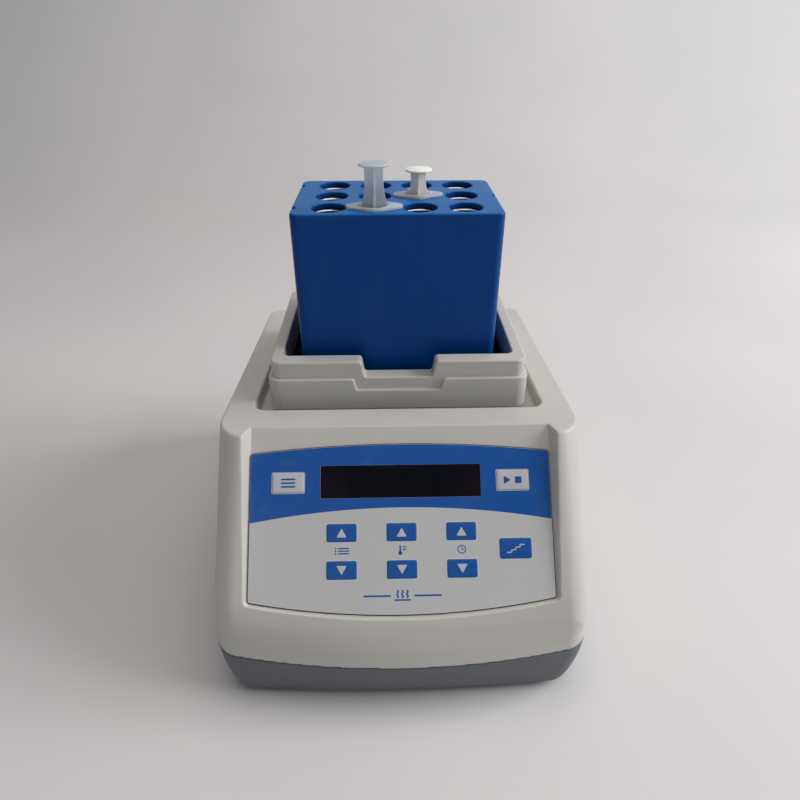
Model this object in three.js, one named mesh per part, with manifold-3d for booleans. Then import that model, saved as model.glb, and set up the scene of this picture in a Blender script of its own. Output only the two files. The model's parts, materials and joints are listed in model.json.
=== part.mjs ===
// Dry block heater with a tall twelve-place syringe block. Millimetres, +Z up, X to the right, +Y to the rear.
// The origin is the middle of the footprint, on the surface that the feet stand on.
import * as THREE from "three";
import { mergeVertices } from "three/addons/utils/BufferGeometryUtils.js";
import Module from "manifold-3d";

const wasm = await Module();
wasm.setup();

// ---------------------------------------------------------------- driving dimensions
const CORNER_STEPS = 4; // facets in each rounded corner of the casing
const GAP = 0.3; // clearance between pieces that are assembled against each other
const WALL = 2.6; // moulded wall of the two casing halves
const FOOT_HEIGHT = 3;
const PARTING_Z = 31.5; // top of the base tray, bottom of the upper housing
const FRONT_CORNER_R = [12, 15]; // corners of the casing in plan, at the parting line and at the top
const REAR_CORNER_R = 9;
const BODY_WIDTH = 196.6; // over the side walls at the parting line
const BODY_DEPTH = 262.8; // over the bowed front and the rear wall at the parting line
const FRONT = -BODY_DEPTH / 2;
const REAR = BODY_DEPTH / 2;
const ROCKER_PROUD = 4.15; // how far the power rocker stands out behind the rear wall

const TOP_SLOPE = Math.tan(THREE.MathUtils.degToRad(4.3)); // the lid of the casing falls to the rear
const TOP_REF_Y = -36.3;
const TOP_REF_Z = 124.5; // height of the sloping top at TOP_REF_Y
const topZ = (y) => TOP_REF_Z - TOP_SLOPE * (y - TOP_REF_Y);

const BLOCK_Y = 29.7; // centre of the block, the well and the collar
const PITCH = 24; // spacing of the tube holes both ways
const COLUMNS = 4;
const ROWS = 3;
const COVER_TOP = 225;
const COVER_BOTTOM = 109;
const COVER_HALF_X = 55.6;
const COVER_HALF_Y = 36.8;
const COVER_WALL = 3.2;
const COVER_HOLE_R = 9;
const BLOCK_BORE_R = 8.5;
const BORE_CHAMFER = 0.5;
const BORE_DEPTH = 100;
const PLATE_TOP = 108;

const COLLAR_TOP = 148.4;
const COLLAR_INNER = [64.9, 43.4]; // half sizes along X and Y
const COLLAR_OUTER = [71.4, 52.5];
const COLLAR_SKIRT = [73.4, 54.5]; // the wider lower tier
const COLLAR_STEP = 138.3; // height of the step between the two tiers
const COLLAR_BOTTOM = 118.5;
const POCKET = [81.3, 62]; // half sizes of the sunk pocket that the collar stands in
const POCKET_DEPTH = 9.5;
const POCKET_CORNER_R = 7.5;

const PANEL_SLOPE = THREE.MathUtils.degToRad(48.1);
const PANEL_Y = -61.1; // the line through the overlay's upper corners
const PANEL_Z = 114.8;
const OVERLAY_HALF = 78.3;
const OVERLAY_LENGTH = 74.7; // from the upper to the lower corners, down the slope
const OVERLAY_TOP_BOW = 4.4;
const OVERLAY_LOW_BOW = 7.2;
const OVERLAY_THICK = 0.8;

// ---------------------------------------------------------------- geometry helpers
function solid(geometry) {
  const bare = geometry.clone();
  bare.deleteAttribute("normal");
  bare.deleteAttribute("uv");
  const merged = mergeVertices(bare, 1e-4);
  const mesh = new wasm.Mesh({
    numProp: 3,
    vertProperties: new Float32Array(merged.attributes.position.array),
    triVerts: new Uint32Array(merged.index.array),
  });
  return new wasm.Manifold(mesh);
}

function geometryOf(manifold) {
  const mesh = manifold.getMesh();
  const points = new Float32Array(mesh.numVert * 3);
  for (let i = 0; i < mesh.numVert; i++) {
    points.set(mesh.vertProperties.subarray(i * mesh.numProp, i * mesh.numProp + 3), i * 3);
  }
  const made = new THREE.BufferGeometry();
  made.setAttribute("position", new THREE.BufferAttribute(points, 3));
  made.setIndex(new THREE.BufferAttribute(mesh.triVerts, 1));
  made.computeVertexNormals();
  return made;
}

// Joins the geometries in `add`, then cuts away those in `cut`.
function carve(add, cut = []) {
  let whole = solid(add[0]);
  for (const piece of add.slice(1)) whole = whole.add(solid(piece));
  for (const piece of cut) whole = whole.subtract(solid(piece));
  return geometryOf(whole);
}

function box(x0, x1, y0, y1, z0, z1) {
  const made = new THREE.BoxGeometry(x1 - x0, y1 - y0, z1 - z0);
  return made.translate((x0 + x1) / 2, (y0 + y1) / 2, (z0 + z1) / 2);
}

// An upright cylinder between two heights.
function post(x, y, radius, z0, z1, sides = 16) {
  const made = new THREE.CylinderGeometry(radius, radius, z1 - z0, sides);
  return made.rotateX(Math.PI / 2).translate(x, y, (z0 + z1) / 2);
}

// A cylinder that lies along Y.
function rod(x, z, radius, y0, y1, sides = 20) {
  const made = new THREE.CylinderGeometry(radius, radius, y1 - y0, sides);
  return made.translate(x, (y0 + y1) / 2, z);
}

function roundedShape(halfX, halfY, radius) {
  const shape = new THREE.Shape();
  shape.moveTo(halfX - radius, -halfY);
  shape.absarc(halfX - radius, radius - halfY, radius, -Math.PI / 2, 0);
  shape.absarc(halfX - radius, halfY - radius, radius, 0, Math.PI / 2);
  shape.absarc(radius - halfX, halfY - radius, radius, Math.PI / 2, Math.PI);
  shape.absarc(radius - halfX, radius - halfY, radius, Math.PI, 1.5 * Math.PI);
  shape.closePath();
  return shape;
}

// A rounded rectangular slab between two heights, centred on (x, y).
function slab(halfX, halfY, radius, z0, z1, x = 0, y = 0, curveSegments = 3) {
  const options = { depth: z1 - z0, bevelEnabled: false, curveSegments };
  const made = new THREE.ExtrudeGeometry(roundedShape(halfX, halfY, radius), options);
  return made.translate(x, y, z0);
}

// A turned piece: the profile is a list of [radius, z] points.
function turned(profile, x, y, segments = 16) {
  const points = profile.map(([radius, z]) => new THREE.Vector2(radius, z));
  return new THREE.LatheGeometry(points, segments).rotateX(Math.PI / 2).translate(x, y, 0);
}

// Leans a slab so that it runs parallel to the sloping top of the casing.
function leaning(geometry) {
  const points = geometry.attributes.position;
  for (let i = 0; i < points.count; i++) points.setZ(i, points.getZ(i) + topZ(points.getY(i)));
  return geometry;
}

// One closed outline of the casing in plan: rounded corners, and a front wall that bows forward.
function casingOutline({ half, front, rear, bow, frontR, rearR }) {
  const corners = [
    [half - frontR, front + frontR, frontR, -90],
    [half - rearR, rear - rearR, rearR, 0],
    [rearR - half, rear - rearR, rearR, 90],
    [frontR - half, front + frontR, frontR, 180],
  ];
  const points = [];
  for (const [x, y, r, start] of corners) {
    for (let k = 0; k <= CORNER_STEPS; k++) {
      const angle = THREE.MathUtils.degToRad(start + (90 / CORNER_STEPS) * k);
      points.push([x + r * Math.cos(angle), y + r * Math.sin(angle)]);
    }
  }
  const frontSteps = 6;
  const reach = half - frontR;
  for (let k = 1; k < frontSteps; k++) points.push([-reach + (2 * reach * k) / frontSteps, front]);
  const middle = (front + rear) / 2;
  return points.map(([x, y]) => {
    const nearness = Math.max(0, (middle - y) / (middle - front));
    return [x, y + bow * nearness ** 2 * (x / 80) ** 2];
  });
}

// Closes a stack of outlines into one solid. Every ring is a list of [x, y, z] points, lowest ring first.
function loft(rings) {
  const count = rings[0].length;
  const points = rings.flat();
  const index = [];
  for (let r = 0; r + 1 < rings.length; r++) {
    for (let k = 0; k < count; k++) {
      const a = r * count + k;
      const b = r * count + ((k + 1) % count);
      index.push(a, b, b + count, a, b + count, a + count);
    }
  }
  const last = (rings.length - 1) * count;
  for (const [start, flip] of [[0, true], [last, false]]) {
    const ring = points.slice(start, start + count);
    const centre = [0, 1, 2].map((axis) => ring.reduce((sum, p) => sum + p[axis], 0) / count);
    points.push(centre);
    for (let k = 0; k < count; k++) {
      const a = start + k;
      const b = start + ((k + 1) % count);
      index.push(...(flip ? [b, a, points.length - 1] : [a, b, points.length - 1]));
    }
  }
  const made = new THREE.BufferGeometry();
  made.setAttribute("position", new THREE.BufferAttribute(new Float32Array(points.flat()), 3));
  made.setIndex(index);
  return made;
}

function material(color, roughness, metalness = 0, name = "") {
  return new THREE.MeshStandardMaterial({ color, roughness, metalness, name });
}

// ---------------------------------------------------------------- materials
const BEIGE = material(0xc9c1b6, 0.5);
const GREY = material(0x5a5f66, 0.55);
const BLUE = material(0x1e6fb4, 0.42);
const NAVY = material(0x10161f, 0.35, 0.4);
const ALUMINIUM = material(0xc4c7ca, 0.3, 1);
const STEEL = material(0x9a9da0, 0.35, 1);
const COPPER = material(0xb8703a, 0.35, 1);
const BRASS = material(0xc9a65a, 0.3, 1);
const SILICONE = material(0xb5562c, 0.7);
const RUBBER = material(0x1c1c1e, 0.85);
const BLACK = material(0x16171a, 0.5);
const BOARD = material(0x1d5a37, 0.5);
const OVERLAY = material(0xa9adb2, 0.4);
const PANEL_BLUE = material(0x19579f, 0.4);
const KEY_WHITE = material(0xc8c9cc, 0.4);
const GLASS = material(0x0b0910, 0.12);
const IVORY = material(0xe6e2d4, 0.4);
const CLEAR = material(0xc3cbd8, 0.25);

// The pieces are laid out about the middle of the casing. The rocker moves the middle of the whole a little.
const assembly = new THREE.Group();
assembly.position.y = -ROCKER_PROUD / 2;
function piece(parent, name, geometry, look) {
  const mesh = new THREE.Mesh(geometry, look);
  mesh.name = name;
  parent.add(mesh);
  return mesh;
}

// ---------------------------------------------------------------- casing profiles
// Height, middle of the front wall, bow of the front wall and half width of the upper housing.
const TOP_EDGE_R = 1.4;
const LEVEL_FRONT = 60; // above this height the rings lean over to the slope of the top
const FRONT_TOP = -61.4;
const FRONT_TOP_Z = 125.6;
const HOUSING_LEVELS = [
  [PARTING_Z, FRONT, 7.7, BODY_WIDTH / 2],
  [38, -129.1, 7.2, 98.1],
  [44, -126.8, 6, 97.9],
  [48.5, -123.7, 4.4, 97.8],
  [53, -120.2, 3, 97.7],
  [LEVEL_FRONT, -114.6, 1.9, 97.5],
];

const frontCornerR = (z) => {
  const [low, high] = FRONT_CORNER_R;
  return low + ((high - low) * (z - PARTING_Z)) / (FRONT_TOP_Z - PARTING_Z);
};

function casingRing(level, front, bow, half, inset, lean, rear = REAR) {
  const outline = casingOutline({
    half: half - inset,
    front: front + inset,
    rear: rear - inset,
    bow,
    frontR: frontCornerR(level) - inset,
    rearR: REAR_CORNER_R - inset,
  });
  return outline.map(([x, y]) => [x, y, level + lean * (topZ(y) - FRONT_TOP_Z)]);
}

const REAR_TOP = REAR - 1.6;
function housingOuter() {
  const rings = HOUSING_LEVELS.map(([z, front, bow, half]) => casingRing(z, front, bow, half, 0, 0));
  for (const step of [0, 45, 90]) {
    const angle = THREE.MathUtils.degToRad(step);
    const drop = TOP_EDGE_R * (1 - Math.sin(angle));
    const inset = TOP_EDGE_R * (1 - Math.cos(angle));
    rings.push(casingRing(FRONT_TOP_Z - drop, FRONT_TOP, 1.2, 97, inset, 1, REAR_TOP));
  }
  return loft(rings);
}

// The hollow of the upper housing, whose front runs parallel to the sunk panel.
const panelY = (z) => PANEL_Y - (PANEL_Z - z) / Math.tan(PANEL_SLOPE);
function housingInner() {
  const behind = 3 / Math.sin(PANEL_SLOPE);
  const at = (z, bow, half) => casingRing(z, panelY(z) + behind, bow, half - WALL, 0, 0, REAR - WALL);
  const rings = [
    casingRing(PARTING_Z - 2, FRONT + WALL, 8, 98.3 - WALL, 0, 0, REAR - WALL),
    casingRing(38, FRONT + WALL + 2, 7.4, 98.1 - WALL, 0, 0, REAR - WALL),
    at(50, 4, 97.8),
    at(LEVEL_FRONT, 1.6, 97.5),
    casingRing(FRONT_TOP_Z - WALL, panelY(FRONT_TOP_Z - WALL) + behind, 1.2, 97 - WALL, 0, 1,
      REAR_TOP - WALL),
  ];
  return loft(rings);
}

// ---------------------------------------------------------------- control panel layout
// Panel pieces are laid out in a turned group: x across, y up the slope, z out of the panel.
const panel = new THREE.Group();
panel.position.set(0, PANEL_Y, PANEL_Z);
panel.rotation.x = PANEL_SLOPE;
panel.updateMatrix();
assembly.add(panel);
const onPanel = (geometry) => geometry.clone().applyMatrix4(panel.matrix);

const WINDOW = { x: 0, y: -14.9, halfX: 41.8, halfY: 8.4 };
const SIDE_KEY = [8.2, 5.1]; // half sizes of the three wide keys
const ARROW_KEY = [7.65, 4.5]; // half sizes of the six arrow keys
const ARROW_COLUMNS = { program: -30.9, temperature: 0, time: 30.9 };
const KEYS = [
  { name: "key_option", x: -58.6, y: -15.1, half: SIDE_KEY, look: KEY_WHITE },
  { name: "key_start_stop", x: 58.6, y: -15.1, half: SIDE_KEY, look: KEY_WHITE },
  { name: "key_multi_step", x: 58.7, y: -50.1, half: SIDE_KEY, look: PANEL_BLUE },
];
for (const [column, x] of Object.entries(ARROW_COLUMNS)) {
  KEYS.push({ name: `key_${column}_up`, x, y: -41, half: ARROW_KEY, look: PANEL_BLUE });
  KEYS.push({ name: `key_${column}_down`, x, y: -59.7, half: ARROW_KEY, look: PANEL_BLUE });
}
const KEY_TRAVEL = 0.5;
const KEY_PROUD = 0.5; // how far a key stands out of the overlay

// The overlay's outline: straight sides, and an upper and a lower edge bowed as shallow arcs.
function overlayShape(grow, openTop = 0) {
  const half = OVERLAY_HALF + grow;
  const shape = new THREE.Shape();
  const low = -OVERLAY_LENGTH - grow;
  const steps = 8;
  for (let k = 0; k <= steps; k++) {
    const x = half - (2 * half * k) / steps;
    const bulge = 1 - (x / half) ** 2;
    const y = openTop || grow + OVERLAY_TOP_BOW * bulge;
    if (k === 0) shape.moveTo(x, y);
    else shape.lineTo(x, y);
  }
  for (let k = 0; k <= steps; k++) {
    const x = -half + (2 * half * k) / steps;
    shape.lineTo(x, low - OVERLAY_LOW_BOW * (1 - (x / half) ** 2));
  }
  shape.closePath();
  return shape;
}

function plateOf(shape, z0, z1) {
  const options = { depth: z1 - z0, bevelEnabled: false, curveSegments: 4 };
  return new THREE.ExtrudeGeometry(shape, options).translate(0, 0, z0);
}

// The recess that the overlay lies in: its floor is the panel plane, and its side walls lean outwards.
const RECESS_CLEAR = 0.7;
const RECESS_FLARE = 0.5; // how far a side wall leans out for each millimetre that it rises
const RECESS_RISE = 30;
function recess() {
  const openTop = 40;
  const ring = (z) => overlayShape(RECESS_CLEAR + RECESS_FLARE * z, openTop).getPoints().slice(0, -1)
    .map(({ x, y }) => [x, y, z]);
  return loft([ring(0), ring(RECESS_RISE)]);
}

const keyHoles = (clear, z0, z1) =>
  KEYS.map(({ x, y, half }) => slab(half[0] + clear, half[1] + clear, 0.8 + clear, z0, z1, x, y, 1));
const windowHole = (clear, z0, z1) =>
  box(WINDOW.x - WINDOW.halfX - clear, WINDOW.x + WINDOW.halfX + clear,
    WINDOW.y - WINDOW.halfY - clear, WINDOW.y + WINDOW.halfY + clear, z0, z1);

// ---------------------------------------------------------------- rear wall layout
const INLET = { x: -56, z: 66, halfX: 14, halfZ: 23 };
const SWITCH = { x: -22, z: 66, halfX: 7, halfZ: 10.5 };
const FAN = { x: 42, z: 70, half: 30, depth: 15 };
const SCREW_SPOTS = [[-84, -96, 78], [84, -96, 78], [-84, 106, 116], [84, 106, 116]]; // x, y, boss height
const BOSS_R = 4.5;

// ---------------------------------------------------------------- upper housing
function upperHousing() {
  const outer = solid(housingOuter());
  let shell = outer.subtract(solid(housingInner()));
  const tubWall = WALL;
  const tub = leaning(slab(POCKET[0] + tubWall, POCKET[1] + tubWall, POCKET_CORNER_R + tubWall,
    -POCKET_DEPTH - tubWall, -1, 0, BLOCK_Y));
  shell = shell.add(solid(tub).intersect(outer));
  const cuts = [
    leaning(slab(POCKET[0], POCKET[1], POCKET_CORNER_R, -POCKET_DEPTH, 12, 0, BLOCK_Y)),
    slab(COLLAR_INNER[0] + 4.2, COLLAR_INNER[1] + 4.2, 6, 60, 140, 0, BLOCK_Y),
    onPanel(recess()),
    onPanel(windowHole(0.4, -20, 2)),
    ...keyHoles(0.5, -20, 2).map(onPanel),
    box(INLET.x - INLET.halfX, INLET.x + INLET.halfX, REAR - 12, REAR + 5,
      INLET.z - INLET.halfZ, INLET.z + INLET.halfZ),
    box(SWITCH.x - SWITCH.halfX, SWITCH.x + SWITCH.halfX, REAR - 12, REAR + 5,
      SWITCH.z - SWITCH.halfZ, SWITCH.z + SWITCH.halfZ),
  ];
  const slots = 7;
  for (let k = 0; k < slots; k++) {
    const x = FAN.x + (k - (slots - 1) / 2) * 7.4;
    const reach = Math.sqrt(27 ** 2 - (x - FAN.x) ** 2);
    cuts.push(box(x - 2.2, x + 2.2, REAR - 12, REAR + 5, FAN.z - reach, FAN.z + reach));
  }
  for (const cut of cuts) shell = shell.subtract(solid(cut));
  // Screw bosses run down the corners to the base tray.
  for (const [x, y, height] of SCREW_SPOTS) {
    const inside = outer.add(solid(post(x, y, BOSS_R, PARTING_Z - 6, 40, 16)));
    const boss = solid(post(x, y, BOSS_R, PARTING_Z - 6, height, 16)).intersect(inside);
    shell = shell.add(boss).subtract(solid(post(x, y, 1.6, PARTING_Z - 8, PARTING_Z + 12, 12)));
  }
  return geometryOf(shell);
}
piece(assembly, "upper_housing", upperHousing(), BEIGE);

// ---------------------------------------------------------------- base tray, feet and housing screws
const TRAY_FLOOR = FOOT_HEIGHT + WALL;
const BOARD_Z = TRAY_FLOOR + 9;
const STANDOFF_SPOTS = [[-20, 114], [66, 114], [-20, 67], [66, 67]]; // posts under the power board
const BASE_TOP = PARTING_Z - GAP;
const BASE_LEVELS = [
  [FOOT_HEIGHT, -124.8, 3, 91.4],
  [FOOT_HEIGHT + 3.5, -126.4, 3.8, 93],
  [18, -129.3, 6, 96.1],
  [BASE_TOP, FRONT + 0.1, 7.7, 98.2],
];

function baseTray() {
  const outerRings = BASE_LEVELS.map(([z, front, bow, half]) =>
    casingRing(z, front, bow, half, 0, 0, REAR - (98.3 - half)));
  const innerRings = BASE_LEVELS.map(([z, front, bow, half]) =>
    casingRing(z + WALL, front + WALL, bow, half - WALL, 0, 0, REAR - (98.3 - half) - WALL));
  const add = [];
  const cut = [];
  for (const [x, y] of SCREW_SPOTS) {
    add.push(post(x, y, BOSS_R, FOOT_HEIGHT + 1, PARTING_Z - 6 - GAP, 16));
    cut.push(post(x, y, 3.4, FOOT_HEIGHT - 1, FOOT_HEIGHT + 8, 16));
    cut.push(post(x, y, 1.9, FOOT_HEIGHT - 1, PARTING_Z + 2, 12));
  }
  for (const [x, y] of STANDOFF_SPOTS) add.push(post(x, y, 3, FOOT_HEIGHT + 1, BOARD_Z - GAP, 10));
  const vents = 8;
  for (let k = 0; k < vents; k++) {
    const x = (k - (vents - 1) / 2) * 9;
    cut.push(box(x - 1.6, x + 1.6, -84, -44, FOOT_HEIGHT - 1, FOOT_HEIGHT + WALL + 1));
  }
  let tray = solid(loft(outerRings)).subtract(solid(loft(innerRings)));
  for (const one of add) tray = tray.add(solid(one));
  for (const one of cut) tray = tray.subtract(solid(one));
  return geometryOf(tray);
}
piece(assembly, "base_tray", baseTray(), GREY);

const FOOT_SPOTS = [[-61, -111], [61, -111], [-61, 104], [61, 104]];
FOOT_SPOTS.forEach(([x, y], k) => {
  const profile = [[0, 0], [8.2, 0], [9.2, 1], [9.6, FOOT_HEIGHT - 0.1], [0, FOOT_HEIGHT - 0.1]];
  piece(assembly, `foot_${k + 1}`, turned(profile, x, y), RUBBER);
});
SCREW_SPOTS.forEach(([x, y], k) => {
  const head = FOOT_HEIGHT + 5;
  const profile = [[0, head], [3, head], [3, head + 2.6], [1.4, head + 2.6], [1.4, PARTING_Z + 9],
    [0, PARTING_Z + 9]];
  piece(assembly, `housing_screw_${k + 1}`, turned(profile, x, y, 12), STEEL);
});

// ---------------------------------------------------------------- collar and well
function collar() {
  const lower = COLLAR_BOTTOM - 20;
  const add = [
    slab(...COLLAR_OUTER, 6, COLLAR_STEP - 10, COLLAR_TOP, 0, BLOCK_Y),
    slab(...COLLAR_SKIRT, 7, COLLAR_BOTTOM + 1, COLLAR_STEP, 0, BLOCK_Y),
    slab(COLLAR_SKIRT[0] - 1, COLLAR_SKIRT[1] - 1, 6, COLLAR_BOTTOM, COLLAR_STEP, 0, BLOCK_Y),
    slab(COLLAR_INNER[0] + 3.6, COLLAR_INNER[1] + 3.6, 5, lower, COLLAR_STEP, 0, BLOCK_Y),
  ];
  const skirtFront = BLOCK_Y - COLLAR_SKIRT[1];
  const notch = (halfTop, halfFloor, floor, top, y0, y1) => {
    const shape = new THREE.Shape();
    shape.moveTo(-halfFloor, floor);
    shape.lineTo(halfFloor, floor);
    shape.lineTo(halfTop, top);
    shape.lineTo(-halfTop, top);
    shape.closePath();
    const cutter = new THREE.ExtrudeGeometry(shape, { depth: y1 - y0, bevelEnabled: false });
    return cutter.rotateX(Math.PI / 2).translate(0, y1, 0);
  };
  const upperFront = BLOCK_Y - COLLAR_OUTER[1];
  const cut = [
    slab(...COLLAR_INNER, 4, lower - 1, COLLAR_TOP + 1, 0, BLOCK_Y),
    notch(22.3, 18.6, COLLAR_TOP - 9.6, COLLAR_TOP + 1, skirtFront - 1, BLOCK_Y - 30),
    notch(25.9, 23.4, COLLAR_STEP - 6.9, COLLAR_STEP + 1, skirtFront - 1, upperFront),
  ];
  return carve(add, cut);
}
piece(assembly, "block_collar", collar(), BEIGE);

const LINER_TOP = COLLAR_TOP - 12;
const LINER_HALF = [COLLAR_INNER[0] - 0.5, COLLAR_INNER[1] - 0.5];
const LINER_WALL = 1.2;
piece(assembly, "well_liner", carve(
  [slab(...LINER_HALF, 3.5, PLATE_TOP - 14, LINER_TOP, 0, BLOCK_Y)],
  [slab(LINER_HALF[0] - LINER_WALL, LINER_HALF[1] - LINER_WALL, 2.3, PLATE_TOP - 15, LINER_TOP + 1, 0, BLOCK_Y)],
), NAVY);

const PLATE_HALF = [LINER_HALF[0] - LINER_WALL - 0.6, LINER_HALF[1] - LINER_WALL - 0.6];
const PLATE_BOTTOM = PLATE_TOP - 12;
piece(assembly, "heating_plate", carve(
  [slab(...PLATE_HALF, 2, PLATE_BOTTOM, PLATE_TOP, 0, BLOCK_Y)],
  [rod(40, PLATE_TOP - 6, 2.5, BLOCK_Y - 60, BLOCK_Y - 10, 16)],
), ALUMINIUM);
const MAT_TOP = PLATE_BOTTOM - GAP;
piece(assembly, "heater_mat", carve(
  [slab(58, 36, 3, MAT_TOP - 1.8, MAT_TOP, 0, BLOCK_Y)],
  [post(0, BLOCK_Y, 11, MAT_TOP - 3, MAT_TOP + 1)],
), SILICONE);
piece(assembly, "thermal_cutout", turned(
  [[0, MAT_TOP - 12], [4, MAT_TOP - 12], [8, MAT_TOP - 8], [8, MAT_TOP - 2], [10, MAT_TOP - 2],
    [10, MAT_TOP], [0, MAT_TOP]], 0, BLOCK_Y), STEEL);
piece(assembly, "temperature_probe", carve(
  [rod(40, PLATE_TOP - 6, 2, BLOCK_Y - LINER_HALF[1] + 3, BLOCK_Y - 12, 16)]), STEEL);
const POST_SPOTS = [[-48, -28], [48, -28], [-48, 28], [48, 28]];
POST_SPOTS.forEach(([x, y], k) => {
  const geometry = post(x, BLOCK_Y + y, 3, FOOT_HEIGHT + WALL + 0.1, MAT_TOP - 1.8 - GAP, 12);
  piece(assembly, `plate_post_${k + 1}`, geometry, STEEL);
});

// ---------------------------------------------------------------- aluminium block and its cover
const holeSpots = [];
for (let row = 0; row < ROWS; row++) {
  for (let column = 0; column < COLUMNS; column++) {
    const x = (column - (COLUMNS - 1) / 2) * PITCH;
    const y = BLOCK_Y + (row - (ROWS - 1) / 2) * PITCH;
    holeSpots.push({ row, column, x, y });
  }
}

const BLOCK_TOP = COVER_TOP - COVER_WALL - GAP;
const BLOCK_HALF = [COVER_HALF_X - COVER_WALL - 0.4, COVER_HALF_Y - COVER_WALL - 0.4];
function aluminiumBlock() {
  const floor = BLOCK_TOP - BORE_DEPTH;
  const bore = [[0, floor - 3], [BLOCK_BORE_R, floor], [BLOCK_BORE_R, BLOCK_TOP - BORE_CHAMFER],
    [BLOCK_BORE_R + BORE_CHAMFER, BLOCK_TOP], [BLOCK_BORE_R + BORE_CHAMFER, BLOCK_TOP + 1],
    [0, BLOCK_TOP + 1]];
  return carve(
    [slab(...BLOCK_HALF, 2, PLATE_TOP + GAP, BLOCK_TOP, 0, BLOCK_Y, 3)],
    holeSpots.map(({ x, y }) => turned(bore, x, y, 14)),
  );
}
piece(assembly, "aluminium_block", aluminiumBlock(), ALUMINIUM);

function blockCover() {
  const notchR = 1.9;
  const edgeNotches = [[-COVER_HALF_X, 1], [-COVER_HALF_X, -1], [COVER_HALF_X, 0]];
  const inset = 1.2; // the upper edge is eased in two steps
  const add = [
    slab(COVER_HALF_X, COVER_HALF_Y, 4.5, COVER_BOTTOM, COVER_TOP - inset, 0, BLOCK_Y),
    slab(COVER_HALF_X - 0.35, COVER_HALF_Y - 0.35, 4.2, COVER_TOP - 2, COVER_TOP - 0.35, 0, BLOCK_Y),
    slab(COVER_HALF_X - inset, COVER_HALF_Y - inset, 3.4, COVER_TOP - 2, COVER_TOP, 0, BLOCK_Y),
  ];
  const cut = [
    slab(COVER_HALF_X - COVER_WALL, COVER_HALF_Y - COVER_WALL, 2.4, COVER_BOTTOM - 1,
      COVER_TOP - COVER_WALL, 0, BLOCK_Y, 3),
    ...holeSpots.map(({ x, y }) => post(x, y, COVER_HOLE_R, COVER_TOP - 8, COVER_TOP + 1, 18)),
    ...edgeNotches.map(([x, row]) =>
      post(x, BLOCK_Y + row * PITCH, notchR, COVER_TOP - COVER_WALL + 0.4, COVER_TOP + 1, 8)),
  ];
  return carve(add, cut);
}
piece(assembly, "block_cover", blockCover(), BLUE);

// ---------------------------------------------------------------- syringes
// A disposable syringe that hangs by its flange from the cover. `lift` is how far the plunger stands out.
function syringe(name, spot, size, rodLook) {
  const { bodyR, boreR, length, flangeX, flangeY, thumbR, crossR, lift } = size;
  const { x, y } = spot;
  const seat = COVER_TOP + 0.1;
  const bottom = seat - length;
  const flangeTop = seat + 1.2;
  const flange = new THREE.Shape();
  flange.absellipse(0, 0, flangeX, flangeY, 0, 2 * Math.PI);
  const flangePlate = new THREE.ExtrudeGeometry(flange,
    { depth: flangeTop - seat, bevelEnabled: false, curveSegments: 6 }).translate(x, y, seat);
  const barrel = turned([[0, bottom - 9], [2, bottom - 9], [2.3, bottom - 0.5], [bodyR - 1, bottom],
    [bodyR, bottom + 1.5], [bodyR, seat + 0.5], [0, seat + 0.5]], x, y);
  const bore = turned([[0, bottom - 10], [1, bottom - 10], [1, bottom + 1.5], [boreR, bottom + 3],
    [boreR, flangeTop + 1], [0, flangeTop + 1]], x, y);
  piece(assembly, `${name}_barrel`, carve([barrel, flangePlate], [bore]), CLEAR);

  const pistonBottom = bottom + size.fill;
  const pistonTop = pistonBottom + 7;
  piece(assembly, `${name}_piston`, turned([[0, pistonBottom], [boreR - 1.5, pistonBottom + 1.5],
    [boreR - 0.3, pistonBottom + 2], [boreR - 0.3, pistonTop], [0, pistonTop]], x, y), RUBBER);

  const rodBottom = pistonTop + 0.1;
  const thumbZ = seat + lift;
  const discR = boreR - 0.4;
  const web = 0.7;
  const add = [
    box(x - crossR, x + crossR, y - web, y + web, rodBottom, thumbZ + 0.4),
    box(x - web, x + web, y - crossR, y + crossR, rodBottom, thumbZ + 0.4),
    post(x, y, discR, rodBottom, rodBottom + 1.4, 20),
    post(x, y, discR, rodBottom + 9, rodBottom + 10.2, 20),
    turned([[0, thumbZ], [thumbR - 0.8, thumbZ], [thumbR, thumbZ + 0.6], [thumbR, thumbZ + 1.4],
      [thumbR - 0.8, thumbZ + 2], [0, thumbZ + 2]], x, y),
  ];
  piece(assembly, `${name}_plunger`, carve(add), rodLook);
  const tip = bottom - 9;
  piece(assembly, `${name}_cap`, turned([[0, tip - 4], [3, tip - 4], [3.4, tip - 3], [3.4, tip + 5],
    [2.4, tip + 5], [2.4, tip - 0.4], [0, tip - 0.4]], x, y, 16), IVORY);
}
const spotAt = (row, column) => holeSpots.find((spot) => spot.row === row && spot.column === column);
syringe("large_syringe", spotAt(0, 1), {
  bodyR: 7.9, boreR: 7.1, length: 80, flangeX: 15, flangeY: 10, thumbR: 8, crossR: 4.9, lift: 20.7, fill: 25.7,
}, CLEAR);
syringe("small_syringe", spotAt(1, 2), {
  bodyR: 6.8, boreR: 6.1, length: 66, flangeX: 13.7, flangeY: 9, thumbR: 7.4, crossR: 4.1, lift: 12.9, fill: 15.4,
}, IVORY);

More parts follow.
